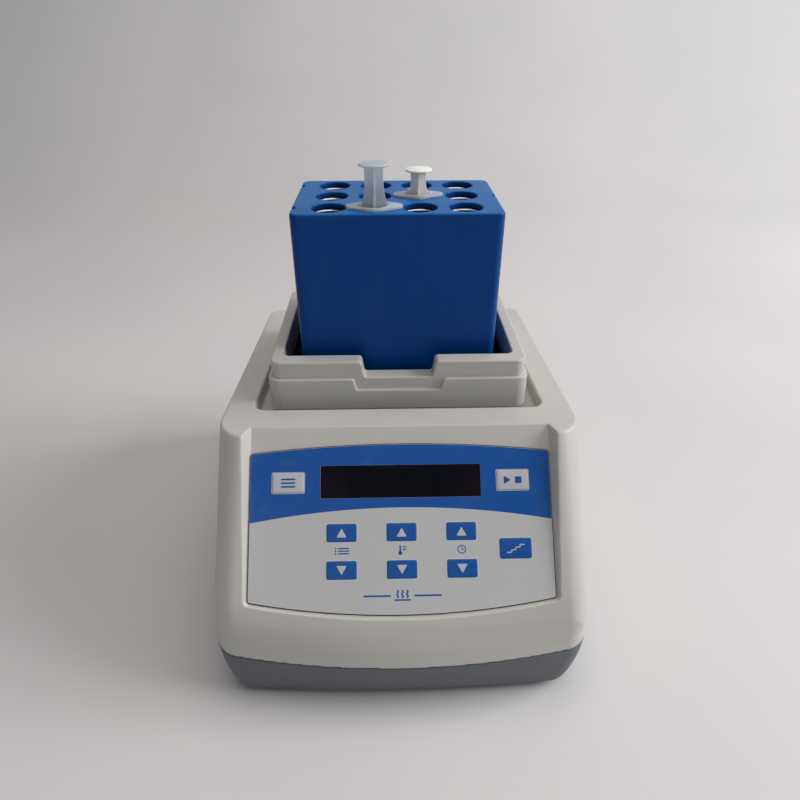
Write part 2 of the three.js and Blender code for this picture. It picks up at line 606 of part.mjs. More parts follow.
// ---------------------------------------------------------------- control panel pieces
const OVERLAY_BACK = 0.15;
const OVERLAY_FACE = OVERLAY_BACK + OVERLAY_THICK;
piece(panel, "panel_overlay", carve(
  [plateOf(overlayShape(0), OVERLAY_BACK, OVERLAY_FACE)],
  [...keyHoles(0.25, -1, 3), windowHole(0.2, -1, 3)],
), OVERLAY);
piece(panel, "display_window", windowHole(0, -0.6, OVERLAY_FACE - 0.1), GLASS);
piece(panel, "display_module", carve([
  box(-43, 43, WINDOW.y - 12, WINDOW.y + 12, -8.6, -3.4),
  box(-39, 39, WINDOW.y - 7.6, WINDOW.y + 7.6, -3.6, -1.2),
]), BLACK);
const BOARD_FACE = -9.4;
const SWITCH_TOP = -5.2;
for (const { name, x, y, half, look } of KEYS) {
  const cap = slab(half[0], half[1], 0.8, -1.6, OVERLAY_FACE + KEY_PROUD, x, y, 1);
  const stem = post(x, y, 2, SWITCH_TOP + KEY_TRAVEL + 0.2, -1.4, 8);
  piece(panel, name, carve([cap, stem]), look);
}
piece(panel, "control_board", carve([
  box(-74, 74, -76, -1, BOARD_FACE - 1.6, BOARD_FACE),
  ...KEYS.map(({ x, y }) => box(x - 3, x + 3, y - 3, y + 3, BOARD_FACE - 0.2, SWITCH_TOP)),
  box(-24, -6, -34, -27, BOARD_FACE - 4, BOARD_FACE - 1.4),
  box(10, 18, -50, -36, BOARD_FACE - 3.4, BOARD_FACE - 1.4),
]), BOARD);

// ---------------------------------------------------------------- rear wall pieces
const flangeY = REAR - 1.2; // the wall leans a little, so the flanges bed on its proudest part
function mainsInlet() {
  const { x, z, halfX, halfZ } = INLET;
  const add = [
    box(x - halfX - 3, x + halfX + 3, flangeY + 1.6, flangeY + 4, z - halfZ - 3, z + halfZ + 3),
    box(x - halfX + GAP, x + halfX - GAP, REAR - 24, flangeY + 2, z - halfZ + GAP, z + halfZ - GAP),
  ];
  const cut = [
    box(x - 12, x + 12, REAR - 16, REAR + 6, z - 1, z + 16),
    box(x - 11.5, x + 11.5, REAR - 20, REAR + 6, z - 19, z - 8),
  ];
  return carve(add, cut);
}
piece(assembly, "mains_inlet", mainsInlet(), BLACK);
[[-7, 5], [7, 5], [0, 10]].forEach(([dx, dz], k) => {
  const x = INLET.x + dx;
  const z = INLET.z + dz;
  piece(assembly, `inlet_pin_${k + 1}`, box(x - 1, x + 1, REAR - 15.9, REAR - 2, z - 2, z + 2), BRASS);
});
const DRAWER_Z = INLET.z - 13.5;
piece(assembly, "fuse_drawer", carve([
  box(INLET.x - 11, INLET.x + 11, REAR - 19.5, REAR + 3.4, DRAWER_Z - 5, DRAWER_Z + 5),
], [
  box(INLET.x - 9, INLET.x + 9, REAR - 18, REAR - 1, DRAWER_Z - 3.4, DRAWER_Z + 6),
  box(INLET.x - 3, INLET.x + 3, REAR + 1.4, REAR + 5, DRAWER_Z + 3, DRAWER_Z + 6),
]), BLACK);
piece(assembly, "fuse", new THREE.CylinderGeometry(2.5, 2.5, 17, 16).rotateZ(Math.PI / 2)
  .translate(INLET.x, REAR - 10, DRAWER_Z - 0.6), GLASS);

piece(assembly, "power_switch_frame", carve([
  box(SWITCH.x - 9, SWITCH.x + 9, flangeY + 1.6, flangeY + 3.6, SWITCH.z - 13, SWITCH.z + 13),
  box(SWITCH.x - 6.7, SWITCH.x + 6.7, REAR - 16, flangeY + 2, SWITCH.z - 10.2, SWITCH.z + 10.2),
], [
  box(SWITCH.x - 5.5, SWITCH.x + 5.5, REAR - 9, REAR + 6, SWITCH.z - 9, SWITCH.z + 9),
]), BLACK);
// The rocker turns about a horizontal pin; its two faces make a shallow V.
const ROCKER_PIN_Y = REAR - 2.5;
const ROCKER_TILT = THREE.MathUtils.degToRad(9);
function rocker() {
  const shape = new THREE.Shape();
  const reach = 8;
  const face = 5.2;
  shape.moveTo(-reach, -1.5);
  shape.lineTo(reach, -1.5);
  shape.lineTo(reach, face + reach * Math.tan(ROCKER_TILT) - 1);
  shape.lineTo(0, face - 1.4);
  shape.lineTo(-reach, face + reach * Math.tan(ROCKER_TILT) - 1);
  shape.closePath();
  const made = new THREE.ExtrudeGeometry(shape, { depth: 10, bevelEnabled: false }).translate(0, 0, -5);
  // Shape x runs down the wall, shape y runs out to the rear.
  made.rotateY(Math.PI / 2);
  return made;
}
const rockerMesh = piece(assembly, "power_rocker", rocker(), BLACK);
rockerMesh.position.set(SWITCH.x, ROCKER_PIN_Y, SWITCH.z);
rockerMesh.rotation.x = -ROCKER_TILT;

const FAN_FACE = REAR - WALL - 2.4;
const fanBack = FAN_FACE - FAN.depth;
piece(assembly, "fan_frame", carve([
  box(FAN.x - FAN.half, FAN.x + FAN.half, fanBack, FAN_FACE, FAN.z - FAN.half, FAN.z + FAN.half),
], [
  rod(FAN.x, FAN.z, 27.5, fanBack + 2, FAN_FACE + 1, 36),
  ...[-1, 1].flatMap((sx) => [-1, 1].map((sz) =>
    box(Math.min(sx * 2, sx * 18) + FAN.x, Math.max(sx * 2, sx * 18) + FAN.x, fanBack - 1, fanBack + 3,
      Math.min(sz * 2, sz * 18) + FAN.z, Math.max(sz * 2, sz * 18) + FAN.z))),
]), BLACK);
function fanRotor() {
  const blades = 7;
  const y0 = fanBack + 3.4;
  const y1 = FAN_FACE - 1;
  const add = [rod(0, 0, 13, y0, y1, 28)];
  for (let k = 0; k < blades; k++) {
    const blade = new THREE.BoxGeometry(14.5, y1 - y0 - 1, 1.4);
    blade.rotateX(THREE.MathUtils.degToRad(36));
    blade.scale(1, 0.9, 0.9).translate(18.6, (y0 + y1) / 2, 0);
    add.push(blade.rotateY((2 * Math.PI * k) / blades));
  }
  return carve(add).translate(FAN.x, 0, FAN.z);
}
piece(assembly, "fan_rotor", fanRotor(), BLACK);

// ---------------------------------------------------------------- power electronics in the base
const POWER_BOARD = { x0: -24, x1: 70, y0: 64, y1: 118 };
piece(assembly, "power_board", carve([
  box(POWER_BOARD.x0, POWER_BOARD.x1, POWER_BOARD.y0, POWER_BOARD.y1, BOARD_Z, BOARD_Z + 1.6),
  box(-20, -8, 70, 86, BOARD_Z + 1.4, BOARD_Z + 13),
  box(2, 14, 92, 112, BOARD_Z + 1.4, BOARD_Z + 11),
  post(28, 74, 6, BOARD_Z + 1.4, BOARD_Z + 20, 16),
  post(44, 74, 5, BOARD_Z + 1.4, BOARD_Z + 16, 16),
]), BOARD);
const finCount = 5;
piece(assembly, "triac_heat_sink", carve([
  box(30, 62, 96, 98.4, BOARD_Z + 1.8, BOARD_Z + 22),
  ...Array.from({ length: finCount }, (_, k) => {
    const x = 30 + (k * (32 - 1.6)) / (finCount - 1);
    return box(x, x + 1.6, 98, 112, BOARD_Z + 1.8, BOARD_Z + 22);
  }),
]), ALUMINIUM);
const CORE = { x: -56, y: 88, r: 27, z0: TRAY_FLOOR + 0.3, z1: TRAY_FLOOR + 27 };
piece(assembly, "transformer", turned([
  [10, CORE.z0], [CORE.r - 4, CORE.z0], [CORE.r, CORE.z0 + 4], [CORE.r, CORE.z1 - 4],
  [CORE.r - 4, CORE.z1], [10, CORE.z1], [10, CORE.z0]], CORE.x, CORE.y, 20), COPPER);
piece(assembly, "transformer_clamp", turned([
  [0, TRAY_FLOOR + 0.1], [4, TRAY_FLOOR + 0.1], [4, CORE.z1 + 0.3], [17, CORE.z1 + 0.3],
  [17, CORE.z1 + 2.3], [4, CORE.z1 + 2.3], [4, CORE.z1 + 5], [0, CORE.z1 + 5]], CORE.x, CORE.y, 12), STEEL);

const heater = new THREE.Group();
heater.add(assembly);
export default heater;
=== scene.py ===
import json
import math

import bmesh
import bpy
import numpy as np
from mathutils import Matrix, Vector


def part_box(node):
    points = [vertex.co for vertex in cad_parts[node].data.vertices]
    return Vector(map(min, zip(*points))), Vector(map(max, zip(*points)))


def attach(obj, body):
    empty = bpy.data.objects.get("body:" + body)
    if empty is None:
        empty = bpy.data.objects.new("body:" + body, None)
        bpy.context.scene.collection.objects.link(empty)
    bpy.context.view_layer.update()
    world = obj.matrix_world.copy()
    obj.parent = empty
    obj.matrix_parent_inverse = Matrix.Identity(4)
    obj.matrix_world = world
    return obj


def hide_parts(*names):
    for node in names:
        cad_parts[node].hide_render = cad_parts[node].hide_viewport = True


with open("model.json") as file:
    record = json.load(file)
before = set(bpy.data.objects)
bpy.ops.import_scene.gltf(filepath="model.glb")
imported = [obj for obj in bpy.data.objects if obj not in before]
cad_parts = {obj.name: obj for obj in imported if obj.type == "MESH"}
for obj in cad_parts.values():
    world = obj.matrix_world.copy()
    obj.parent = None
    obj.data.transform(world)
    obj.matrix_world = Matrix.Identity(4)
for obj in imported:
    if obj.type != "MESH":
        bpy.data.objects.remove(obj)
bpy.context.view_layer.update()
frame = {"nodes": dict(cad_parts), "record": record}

# Shapes are worked out in millimetres, in the row frame, and scaled to metres as they become meshes.
MM = 0.001
NODES = frame["nodes"]
BODY_OF = {node: body for body, nodes in frame["record"]["behaviour"]["bodies"].items() for node in nodes}


def box_mm(node):
    low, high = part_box(node)
    return np.array(low) / MM, np.array(high) / MM


def plan_centre(low, high):
    return ((low[0] + high[0]) / 2, (low[1] + high[1]) / 2)


# ------------------------------------------------------------------ driving dimensions, in mm
HOUSING_LOW, HOUSING_HIGH = box_mm("upper_housing")
COVER_LOW, COVER_HIGH = box_mm("block_cover")
COLLAR_LOW = box_mm("block_collar")[0]
BLOCK_LOW, BLOCK_HIGH = box_mm("aluminium_block")
TRAY_LOW, TRAY_HIGH = box_mm("base_tray")
MID_Y = (HOUSING_LOW[1] + HOUSING_HIGH[1]) / 2
HALF_WIDTH = HOUSING_HIGH[0]
BOSS_BELOW = 6.0  # the screw bosses reach this far below the parting line
PARTING_Z = HOUSING_LOW[2] + BOSS_BELOW
BLOCK_Y = (COVER_LOW[1] + COVER_HIGH[1]) / 2
WALL = 2.6
TOP_SLOPE = math.tan(math.radians(4.3))
TOP_REF = (-36.3, 124.5)  # y from the casing's middle, and height, of a point on the sloping top
POCKET_HALF = (81.3, 62.0)
POCKET_DEPTH = 9.5
PITCH = 24.0
PANEL_SLOPE = math.radians(48.1)
PANEL_ORIGIN = (-61.1, 114.8)  # y from the casing's middle, and height
OVERLAY_HALF = 78.3
OVERLAY_LENGTH = 74.7
OVERLAY_TOP_BOW = 4.4
OVERLAY_LOW_BOW = 7.2
OVERLAY_CORNER = 1.3
OVERLAY_BACK = 0.15
OVERLAY_FACE = 0.95
WINDOW = {"y": -14.9, "half": (41.8, 8.4)}
SIDE_KEY = (8.2, 5.1)
ARROW_KEY = (7.65, 4.5)
KEYS = {
    "key_option": (-58.6, -15.1, SIDE_KEY),
    "key_start_stop": (58.6, -15.1, SIDE_KEY),
    "key_multi_step": (58.7, -50.1, SIDE_KEY),
}
for column, key_x in (("program", -30.9), ("temperature", 0.0), ("time", 30.9)):
    KEYS[f"key_{column}_up"] = (key_x, -41.0, ARROW_KEY)
    KEYS[f"key_{column}_down"] = (key_x, -59.7, ARROW_KEY)
KEY_PROUD = 0.5

PANEL = Matrix.Translation((0, (PANEL_ORIGIN[0] + MID_Y) * MM, PANEL_ORIGIN[1] * MM)) @ Matrix.Rotation(
    PANEL_SLOPE, 4, "X"
)


# ------------------------------------------------------------------ distance fields for the moulded shells
def smooth_max(a, b, radius):
    """Intersection of two fields whose shared edge is rounded to the radius."""
    u = np.maximum(a + radius, 0)
    v = np.maximum(b + radius, 0)
    return np.minimum(np.maximum(a, b), -radius) + np.sqrt(u * u + v * v)


def smooth_min(a, b, radius):
    return -smooth_max(-a, -b, radius)


def rounded_rect(x, y, half_x, half_y, radius):
    qx = np.abs(x) - (half_x - radius)
    qy = np.abs(y) - (half_y - radius)
    outside = np.sqrt(np.maximum(qx, 0) ** 2 + np.maximum(qy, 0) ** 2)
    return outside + np.minimum(np.maximum(qx, qy), 0) - radius


def box_field(x, y, z, low, high):
    dx = np.maximum(low[0] - x, x - high[0])
    dy = np.maximum(low[1] - y, y - high[1])
    dz = np.maximum(low[2] - z, z - high[2])
    return np.maximum(np.maximum(dx, dy), dz)


def post_field(x, y, z, centre, radius, low, high):
    round_wall = np.sqrt((x - centre[0]) ** 2 + (y - centre[1]) ** 2) - radius
    return np.maximum(round_wall, np.maximum(low - z, z - high))


def surface_net(field, low, high, step):
    """Vertices, quads and a normal per vertex of the field's zero surface, by naive surface nets."""
    axes = [np.arange(low[k] - 1.6 * step, high[k] + 2.6 * step, step) for k in range(3)]
    layers = []
    chunk = 24
    for start in range(0, len(axes[2]), chunk):
        z = axes[2][start:start + chunk]
        values = field(axes[0][:, None, None], axes[1][None, :, None], z[None, None, :])
        layers.append(np.broadcast_to(values, (len(axes[0]), len(axes[1]), len(z))).astype(np.float32))
    values = np.concatenate(layers, axis=2)
    inside = values < 0
    corners = [(i, j, k) for i in (0, 1) for j in (0, 1) for k in (0, 1)]
    shape = np.array(values.shape) - 1

    def corner_view(array, corner):
        i, j, k = corner
        return array[i:i + shape[0], j:j + shape[1], k:k + shape[2]]

    count = sum(corner_view(inside, c).astype(np.int8) for c in corners)
    active = (count > 0) & (count < 8)
    cells = np.argwhere(active)
    number = np.full(shape, -1, np.int64)
    number[tuple(cells.T)] = np.arange(len(cells))
    at_corner = [corner_view(values, c)[tuple(cells.T)].astype(float) for c in corners]
    total = np.zeros((len(cells), 3))
    hits = np.zeros(len(cells))
    for a in range(8):
        for b in range(a + 1, 8):
            ca, cb = np.array(corners[a], float), np.array(corners[b], float)
            if abs(ca - cb).sum() != 1:
                continue
            crosses = (at_corner[a] < 0) != (at_corner[b] < 0)
            gap = np.where(crosses, at_corner[a] - at_corner[b], 1)
            t = np.where(crosses, at_corner[a] / gap, 0)[:, None]
            total += np.where(crosses[:, None], ca + t * (cb - ca), 0)
            hits += crosses
    origin = np.array([axis[0] for axis in axes])
    points = origin + (cells + total / hits[:, None]) * step

    quads = []
    for axis in range(3):
        u, v = [k for k in range(3) if k != axis]
        ahead = [slice(None)] * 3
        here = [slice(None)] * 3
        ahead[axis] = slice(1, None)
        here[axis] = slice(None, -1)
        for k in (u, v):
            ahead[k] = here[k] = slice(1, -1)
        first, second = inside[tuple(here)], inside[tuple(ahead)]
        for flip, chosen in ((False, first & ~second), (True, ~first & second)):
            spots = np.argwhere(chosen)
            for k in (u, v):
                spots[:, k] += 1
            ring = []
            for du, dv in ((-1, -1), (0, -1), (0, 0), (-1, 0)):
                cell = spots.copy()
                cell[:, u] += du
                cell[:, v] += dv
                ring.append(number[tuple(cell.T)])
            quad = np.stack(ring, 1)
            if flip != (axis == 1):
                quad = quad[:, ::-1]
            quads.append(quad)
    return points, np.concatenate(quads)


def gradient(field, points, reach=0.03):
    slopes = []
    for axis in range(3):
        shift = np.zeros(3)
        shift[axis] = reach
        ahead, behind = (points + shift).T, (points - shift).T
        slopes.append((field(*ahead) - field(*behind)) / (2 * reach))
    return np.stack(slopes, 1)


def settle(field, points, step):
    """Moves points onto the field's zero surface."""
    for _ in range(4):
        slope = gradient(field, points)
        scale = field(*points.T) / np.maximum((slope ** 2).sum(1), 1e-6)
        points = points - np.clip(scale[:, None] * slope, -0.5 * step, 0.5 * step)
    return points


KEPT_FACES = 0.2  # share of a shell's faces that thinning leaves


def shell_piece(name, field, low, high, step):
    """A mesh object of the field's surface, thinned where it is flat, with exact normals."""
    points, quads = surface_net(field, low, high, step)
    points = settle(field, points, step)
    mesh = bpy.data.meshes.new(name)
    mesh.from_pydata((points * MM).tolist(), [], quads.tolist())
    made = link(mesh)
    thin = made.modifiers.new("thin", "DECIMATE")
    thin.ratio = KEPT_FACES
    bake_modifiers(made)
    mesh = made.data
    points = np.array([v.co for v in mesh.vertices], float) / MM
    points = settle(field, points, step)
    mesh.vertices.foreach_set("co", (points * MM).ravel())
    normals = gradient(field, points, 0.12)
    normals /= np.maximum(np.linalg.norm(normals, axis=1), 1e-9)[:, None]
    mesh.shade_smooth()
    mesh.normals_split_custom_set_from_vertices(normals.tolist())
    return made


# ------------------------------------------------------------------ mesh helpers
def link(mesh):
    made = bpy.data.objects.new(mesh.name, mesh)
    bpy.context.scene.collection.objects.link(made)
    return made


def mesh_of(name, points, faces):
    mesh = bpy.data.meshes.new(name)
    mesh.from_pydata([tuple(c * MM for c in p) for p in points], [], faces)
    return mesh


def bake_modifiers(made):
    bpy.context.view_layer.update()
    evaluated = made.evaluated_get(bpy.context.evaluated_depsgraph_get())
    mesh = bpy.data.meshes.new_from_object(evaluated)
    made.modifiers.clear()
    old = made.data
    made.data = mesh
    mesh.name = made.name
    bpy.data.meshes.remove(old)
    return made


def combine(made, others, operation="DIFFERENCE"):
    """Cuts or joins other objects into this one, and removes them."""
    for other in others:
        modifier = made.modifiers.new("combine", "BOOLEAN")
        modifier.operation = operation
        modifier.solver = "EXACT"
        modifier.object = other
    bake_modifiers(made)
    for other in others:
        bpy.data.meshes.remove(other.data)
    return made


def soften(made, width=0.4, segments=2, angle=35):
    """Rounds the sharp edges and makes flat faces shade flat."""
    if width:
        bevel = made.modifiers.new("edges", "BEVEL")
        bevel.width = width * MM
        bevel.segments = segments
        bevel.limit_method = "ANGLE"
        bevel.angle_limit = math.radians(angle)
        bevel.harden_normals = False
        bevel.use_clamp_overlap = True
        bake_modifiers(made)
    made.data.shade_smooth()
    made.data.set_sharp_from_angle(angle=math.radians(angle))
    weighted = made.modifiers.new("normals", "WEIGHTED_NORMAL")
    weighted.keep_sharp = True
    weighted.weight = 80
    return made


def outline_rect(half_x, half_y, radius, centre=(0, 0), steps=10):
    points = []
    for sx, sy, start in ((1, -1, -90), (1, 1, 0), (-1, 1, 90), (-1, -1, 180)):
        for k in range(steps + 1):
            angle = math.radians(start + 90 * k / steps)
            x = sx * (half_x - radius) + radius * math.cos(angle)
            y = sy * (half_y - radius) + radius * math.sin(angle)
            points.append((centre[0] + x, centre[1] + y))
    return points


def loft(name, rings):
    """A closed solid through rings of equally many (x, y, z) points, lowest first."""
    count = len(rings[0])
    faces = []
    for r in range(len(rings) - 1):
        for k in range(count):
            a = r * count + k
            b = r * count + (k + 1) % count
            faces.append((a, b, b + count, a + count))
    last = (len(rings) - 1) * count
    faces.append(tuple(reversed(range(count))))
    faces.append(tuple(range(last, last + count)))
    return link(mesh_of(name, [p for ring in rings for p in ring], faces))


def prism(name, outline, low, high, ease=0.0, ease_steps=3):
    """An anticlockwise outline extruded in z, with its upper edge rounded inwards."""
    ring = lambda points, z: [(x, y, z) for x, y in points]
    rings = [ring(outline, low), ring(outline, high - ease)]
    if ease:
        array = np.array(outline)
        edge_in = inward_normals(array)
        for k in range(1, ease_steps + 1):
            angle = math.radians(90 * k / ease_steps)
            inset = ease * (1 - math.cos(angle))
            rings.append(ring((array + edge_in * inset).tolist(), high - ease + ease * math.sin(angle)))
    return loft(name, rings)


def inward_normals(outline):
    ahead = np.roll(outline, -1, 0) - outline
    behind = outline - np.roll(outline, 1, 0)
    turn = lambda v: np.stack([-v[:, 1], v[:, 0]], 1) / np.maximum(np.linalg.norm(v, axis=1), 1e-9)[:, None]
    n = turn(ahead) + turn(behind)
    n /= np.maximum(np.linalg.norm(n, axis=1), 1e-9)[:, None]
    return n


def lathe(name, profile, centre=(0, 0), segments=64):
    """A turned solid from (radius, z) points that start and end on the axis, lowest first."""
    points, faces, rows = [], [], []
    for radius, z in profile:
        if radius < 1e-9:
            rows.append([len(points)])
            points.append((centre[0], centre[1], z))
            continue
        row = []
        for k in range(segments):
            angle = 2 * math.pi * k / segments
            row.append(len(points))
            points.append((centre[0] + radius * math.cos(angle), centre[1] + radius * math.sin(angle), z))
        rows.append(row)
    for low, high in zip(rows, rows[1:]):
        for k in range(segments):
            n = (k + 1) % segments
            if len(low) == 1:
                faces.append((low[0], high[n], high[k]))
            elif len(high) == 1:
                faces.append((low[k], low[n], high[0]))
            else:
                faces.append((low[k], low[n], high[n], high[k]))
    return link(mesh_of(name, points, faces))


def arc(centre, radius, start, end, steps=5):
    """Points of an arc in a profile, angles in degrees."""
    return [
        (
            centre[0] + radius * math.cos(math.radians(start + (end - start) * k / steps)),
            centre[1] + radius * math.sin(math.radians(start + (end - start) * k / steps)),
        )
        for k in range(steps + 1)
    ]


def joined(name, parts):
    """One object holding the meshes of several, with their materials kept as slots."""
    work = bmesh.new()
    looks = []
    for part in parts:
        start = len(work.faces)
        offset = len(looks)
        work.from_mesh(part.data)
        work.faces.ensure_lookup_table()
        looks.extend(part.data.materials)
        for face in work.faces[start:]:
            face.material_index += offset
    mesh = bpy.data.meshes.new(name)
    work.to_mesh(mesh)
    work.free()
    for look in looks:
        mesh.materials.append(look)
    for part in parts:
        bpy.data.objects.remove(part)
    return link(mesh)


def finish_piece(made, node, look=None):
    """Rides the piece on its node's body in place of the node, and gives it its finish."""
    if look is not None:
        made.data.materials.clear()
        made.data.materials.append(look)
    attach(made, BODY_OF[node])
    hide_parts(node)
    return made


def extra_piece(made, body):
    """Rides a piece that stands for no CAD node on a body."""
    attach(made, body)


def turned_piece(name, profile, centre, node, look, segments=64, angle=40):
    """A lathed piece in place of a CAD node."""
    return finish_piece(soften(lathe(name, profile, centre, segments), 0, angle=angle), node, LOOKS[look])


def refined(node, look, width=0.4, segments=2):
    """A copy of a CAD node with its flat faces merged and its edges rounded."""
    mesh = NODES[node].data.copy()
    mesh.name = f"{node}_finished"
    mesh.materials.clear()
    work = bmesh.new()
    work.from_mesh(mesh)
    bmesh.ops.remove_doubles(work, verts=work.verts, dist=1e-6)
    bmesh.ops.dissolve_limit(work, angle_limit=math.radians(2), verts=work.verts, edges=work.edges)
    work.to_mesh(mesh)
    work.free()
    made = link(mesh)
    soften(made, width, segments)
    return finish_piece(made, node, look)


# ------------------------------------------------------------------ procedural materials
def node(tree, kind, inputs=None, **settings):
    """Adds a shader node. An input is linked when it is a socket, and set when it is a value."""
    made = tree.nodes.new(f"ShaderNode{kind}")
    for key, value in settings.items():
        setattr(made, key, value)
    for key, value in (inputs or {}).items():
        if isinstance(value, bpy.types.NodeSocket):
            tree.links.new(value, made.inputs[key])
        else:
            made.inputs[key].default_value = value
    return made


def coordinates(tree, stretch=(1, 1, 1)):
    place = node(tree, "TexCoord")
    return node(tree, "Mapping", {"Vector": place.outputs["Object"], "Scale": stretch}).outputs["Vector"]


def noise(tree, scale, detail=3.0, roughness=0.55, stretch=(1, 1, 1)):
    inputs = {
        "Vector": coordinates(tree, stretch), "Scale": scale, "Detail": detail, "Roughness": roughness
    }
    return node(tree, "TexNoise", inputs).outputs["Fac"]


def remap(tree, value, low, high, to_low, to_high):
    inputs = {0: value, 1: low, 2: high, 3: to_low, 4: to_high}
    return node(tree, "MapRange", inputs).outputs[0]


def spread(tree, value, low, high):
    """Stretches the middle part of a noise from low to high."""
    return remap(tree, value, 0.3, 0.7, low, high)


def math_node(tree, operation, a, b=0.0):
    return node(tree, "Math", {0: a, 1: b}, operation=operation).outputs[0]


def blend_colour(tree, fac, first, second, mode="MIX"):
    inputs = {0: fac, 6: first, 7: second}
    return node(tree, "Mix", inputs, data_type="RGBA", blend_type=mode).outputs[2]


def srgb(red, green, blue):
    """Linear colour of an sRGB one given from 0 to 255."""
    linear = lambda c: c / 12.92 if c <= 0.04045 else ((c + 0.055) / 1.055) ** 2.4
    return (linear(red / 255), linear(green / 255), linear(blue / 255), 1.0)


def shade(colour, factor):
    return tuple(c * factor for c in colour[:3]) + (1.0,)


def start_look(name, **sockets):
    """A new material with its constants set on the shader's own sockets."""
    look = bpy.data.materials.new(name)
    look.use_nodes = True
    shader = look.node_tree.nodes["Principled BSDF"]
    for key, value in sockets.items():
        shader.inputs[key.replace("_", " ")].default_value = value
    return look, look.node_tree, shader


def dress(tree, shader, colour, roughness, layers=()):
    """Links colour and roughness, and bump layers of (height, strength, distance in mm), coarsest first."""
    tree.links.new(colour, shader.inputs["Base Color"])
    tree.links.new(roughness, shader.inputs["Roughness"])
    normal = None
    for height, strength, distance in layers:
        inputs = {"Height": height, "Strength": strength, "Distance": distance * MM}
        if normal is not None:
            inputs["Normal"] = normal
        normal = node(tree, "Bump", inputs).outputs["Normal"]
    if normal is not None:
        tree.links.new(normal, shader.inputs["Normal"])


def wear_mask(tree, radius=0.8):
    """White where an outer edge is rubbed: the rounded normal leaves the true one there."""
    rounded = node(tree, "Bevel", {"Radius": radius * MM}, samples=4).outputs["Normal"]
    plain = node(tree, "NewGeometry").outputs["Normal"]
    along = node(tree, "VectorMath", {0: rounded, 1: plain}, operation="DOT_PRODUCT").outputs["Value"]
    patchy = remap(tree, noise(tree, 180, 4), 0.35, 0.7, 0, 1)
    return math_node(tree, "MULTIPLY", remap(tree, along, 0.995, 0.9, 0, 1), patchy)


def moulded_plastic(name, colour, roughness, grain=0.35, soil=0.06):
    """Injection-moulded plastic: fine spark-eroded grain, faint flow mottling and a little soil."""
    look, tree, shader = start_look(name)
    flow = noise(tree, 14, 4, 0.6)
    dust = noise(tree, 60, 6, 0.7)
    fine = noise(tree, 2400, 2, 0.6)
    pits = node(tree, "TexVoronoi", {"Vector": coordinates(tree), "Scale": 1500}).outputs["Distance"]
    tint = blend_colour(tree, spread(tree, flow, 0, 1), shade(colour, 0.96), shade(colour, 1.04))
    soiled = blend_colour(tree, remap(tree, dust, 0.5, 0.8, 0, soil), tint, shade(colour, 0.55))
    speckled = blend_colour(tree, remap(tree, fine, 0.35, 0.75, 0, 0.10), soiled, shade(colour, 0.8))
    gloss = math_node(tree, "ADD", spread(tree, dust, roughness - 0.04, roughness + 0.05),
                      spread(tree, fine, -0.03, 0.04))
    dress(tree, shader, speckled, gloss, [(flow, 0.05, 0.6), (pits, grain * 0.5, 0.05), (fine, grain, 0.05)])
    return look


def machined_metal(name, colour, roughness, stretch):
    """Milled or turned metal, with cutter marks drawn out along one direction."""
    look, tree, shader = start_look(name, Metallic=1.0)
    lines = noise(tree, 900, 4, 0.7, stretch)
    stain = noise(tree, 35, 5, 0.65)
    tint = blend_colour(tree, spread(tree, lines, 0, 1), shade(colour, 0.86), colour)
    dulled = blend_colour(tree, remap(tree, stain, 0.5, 0.8, 0, 0.3), tint, shade(colour, 0.6))
    gloss = math_node(tree, "ADD", spread(tree, lines, roughness - 0.07, roughness + 0.08),
                      remap(tree, stain, 0.4, 0.8, 0, 0.12))
    dress(tree, shader, dulled, gloss, [(lines, 0.25, 0.03)])
    return look


def cover_look():
    """Deep blue satin plastic with painted light: a paler, more cyan blue on upward faces. Also faint orange
    peel, hair scratches and rubbed edges.
    """
    look, tree, shader = start_look("cover_blue", Specular_IOR_Level=0.13)
    peel = noise(tree, 260, 3, 0.5)
    flow = noise(tree, 18, 4, 0.6)
    smear = noise(tree, 45, 6, 0.7, (1, 1, 0.25))
    hairs = noise(tree, 700, 3, 0.8, (1, 1, 0.05))
    # Painted light: faces that point up get a paler blue, as if lit from above.
    upward = node(tree, "SeparateXYZ", {"Vector": node(tree, "NewGeometry").outputs["Normal"]}).outputs["Z"]
    painted_top_light = blend_colour(tree, remap(tree, upward, 0.2, 0.9, 0, 1), srgb(0, 64, 134), srgb(0, 98, 168))
    tint = blend_colour(tree, spread(tree, flow, 0, 0.12), painted_top_light, srgb(2, 60, 130))
    rubbed = blend_colour(tree, math_node(tree, "MULTIPLY", wear_mask(tree), 0.35), tint, srgb(60, 140, 205))
    hazy = blend_colour(tree, remap(tree, smear, 0.5, 0.85, 0, 0.03), rubbed, srgb(120, 150, 190))
    gloss = math_node(tree, "ADD", spread(tree, smear, 0.30, 0.40), remap(tree, hairs, 0.55, 0.8, 0, 0.08))
    dress(tree, shader, hazy, gloss, [(peel, 0.06, 0.12), (hairs, 0.05, 0.02)])
    return look


def printed_film(name, colour, roughness=0.34):
    """Polyester overlay film: an even print under a finely textured, slightly smudged surface."""
    look, tree, shader = start_look(name, Specular_IOR_Level=0.45, Coat_Weight=0.25, Coat_Roughness=0.25)
    texture = noise(tree, 3200, 2, 0.5)
    smudge = noise(tree, 55, 6, 0.75)
    flow = noise(tree, 9, 3, 0.5)
    tint = blend_colour(tree, spread(tree, flow, 0, 1), shade(colour, 0.97), shade(colour, 1.03))
    dusty = blend_colour(tree, remap(tree, smudge, 0.55, 0.85, 0, 0.07), tint, srgb(190, 190, 190))
    gloss = spread(tree, smudge, roughness - 0.05, roughness + 0.09)
    dress(tree, shader, dusty, gloss, [(texture, 0.18, 0.02)])
    return look


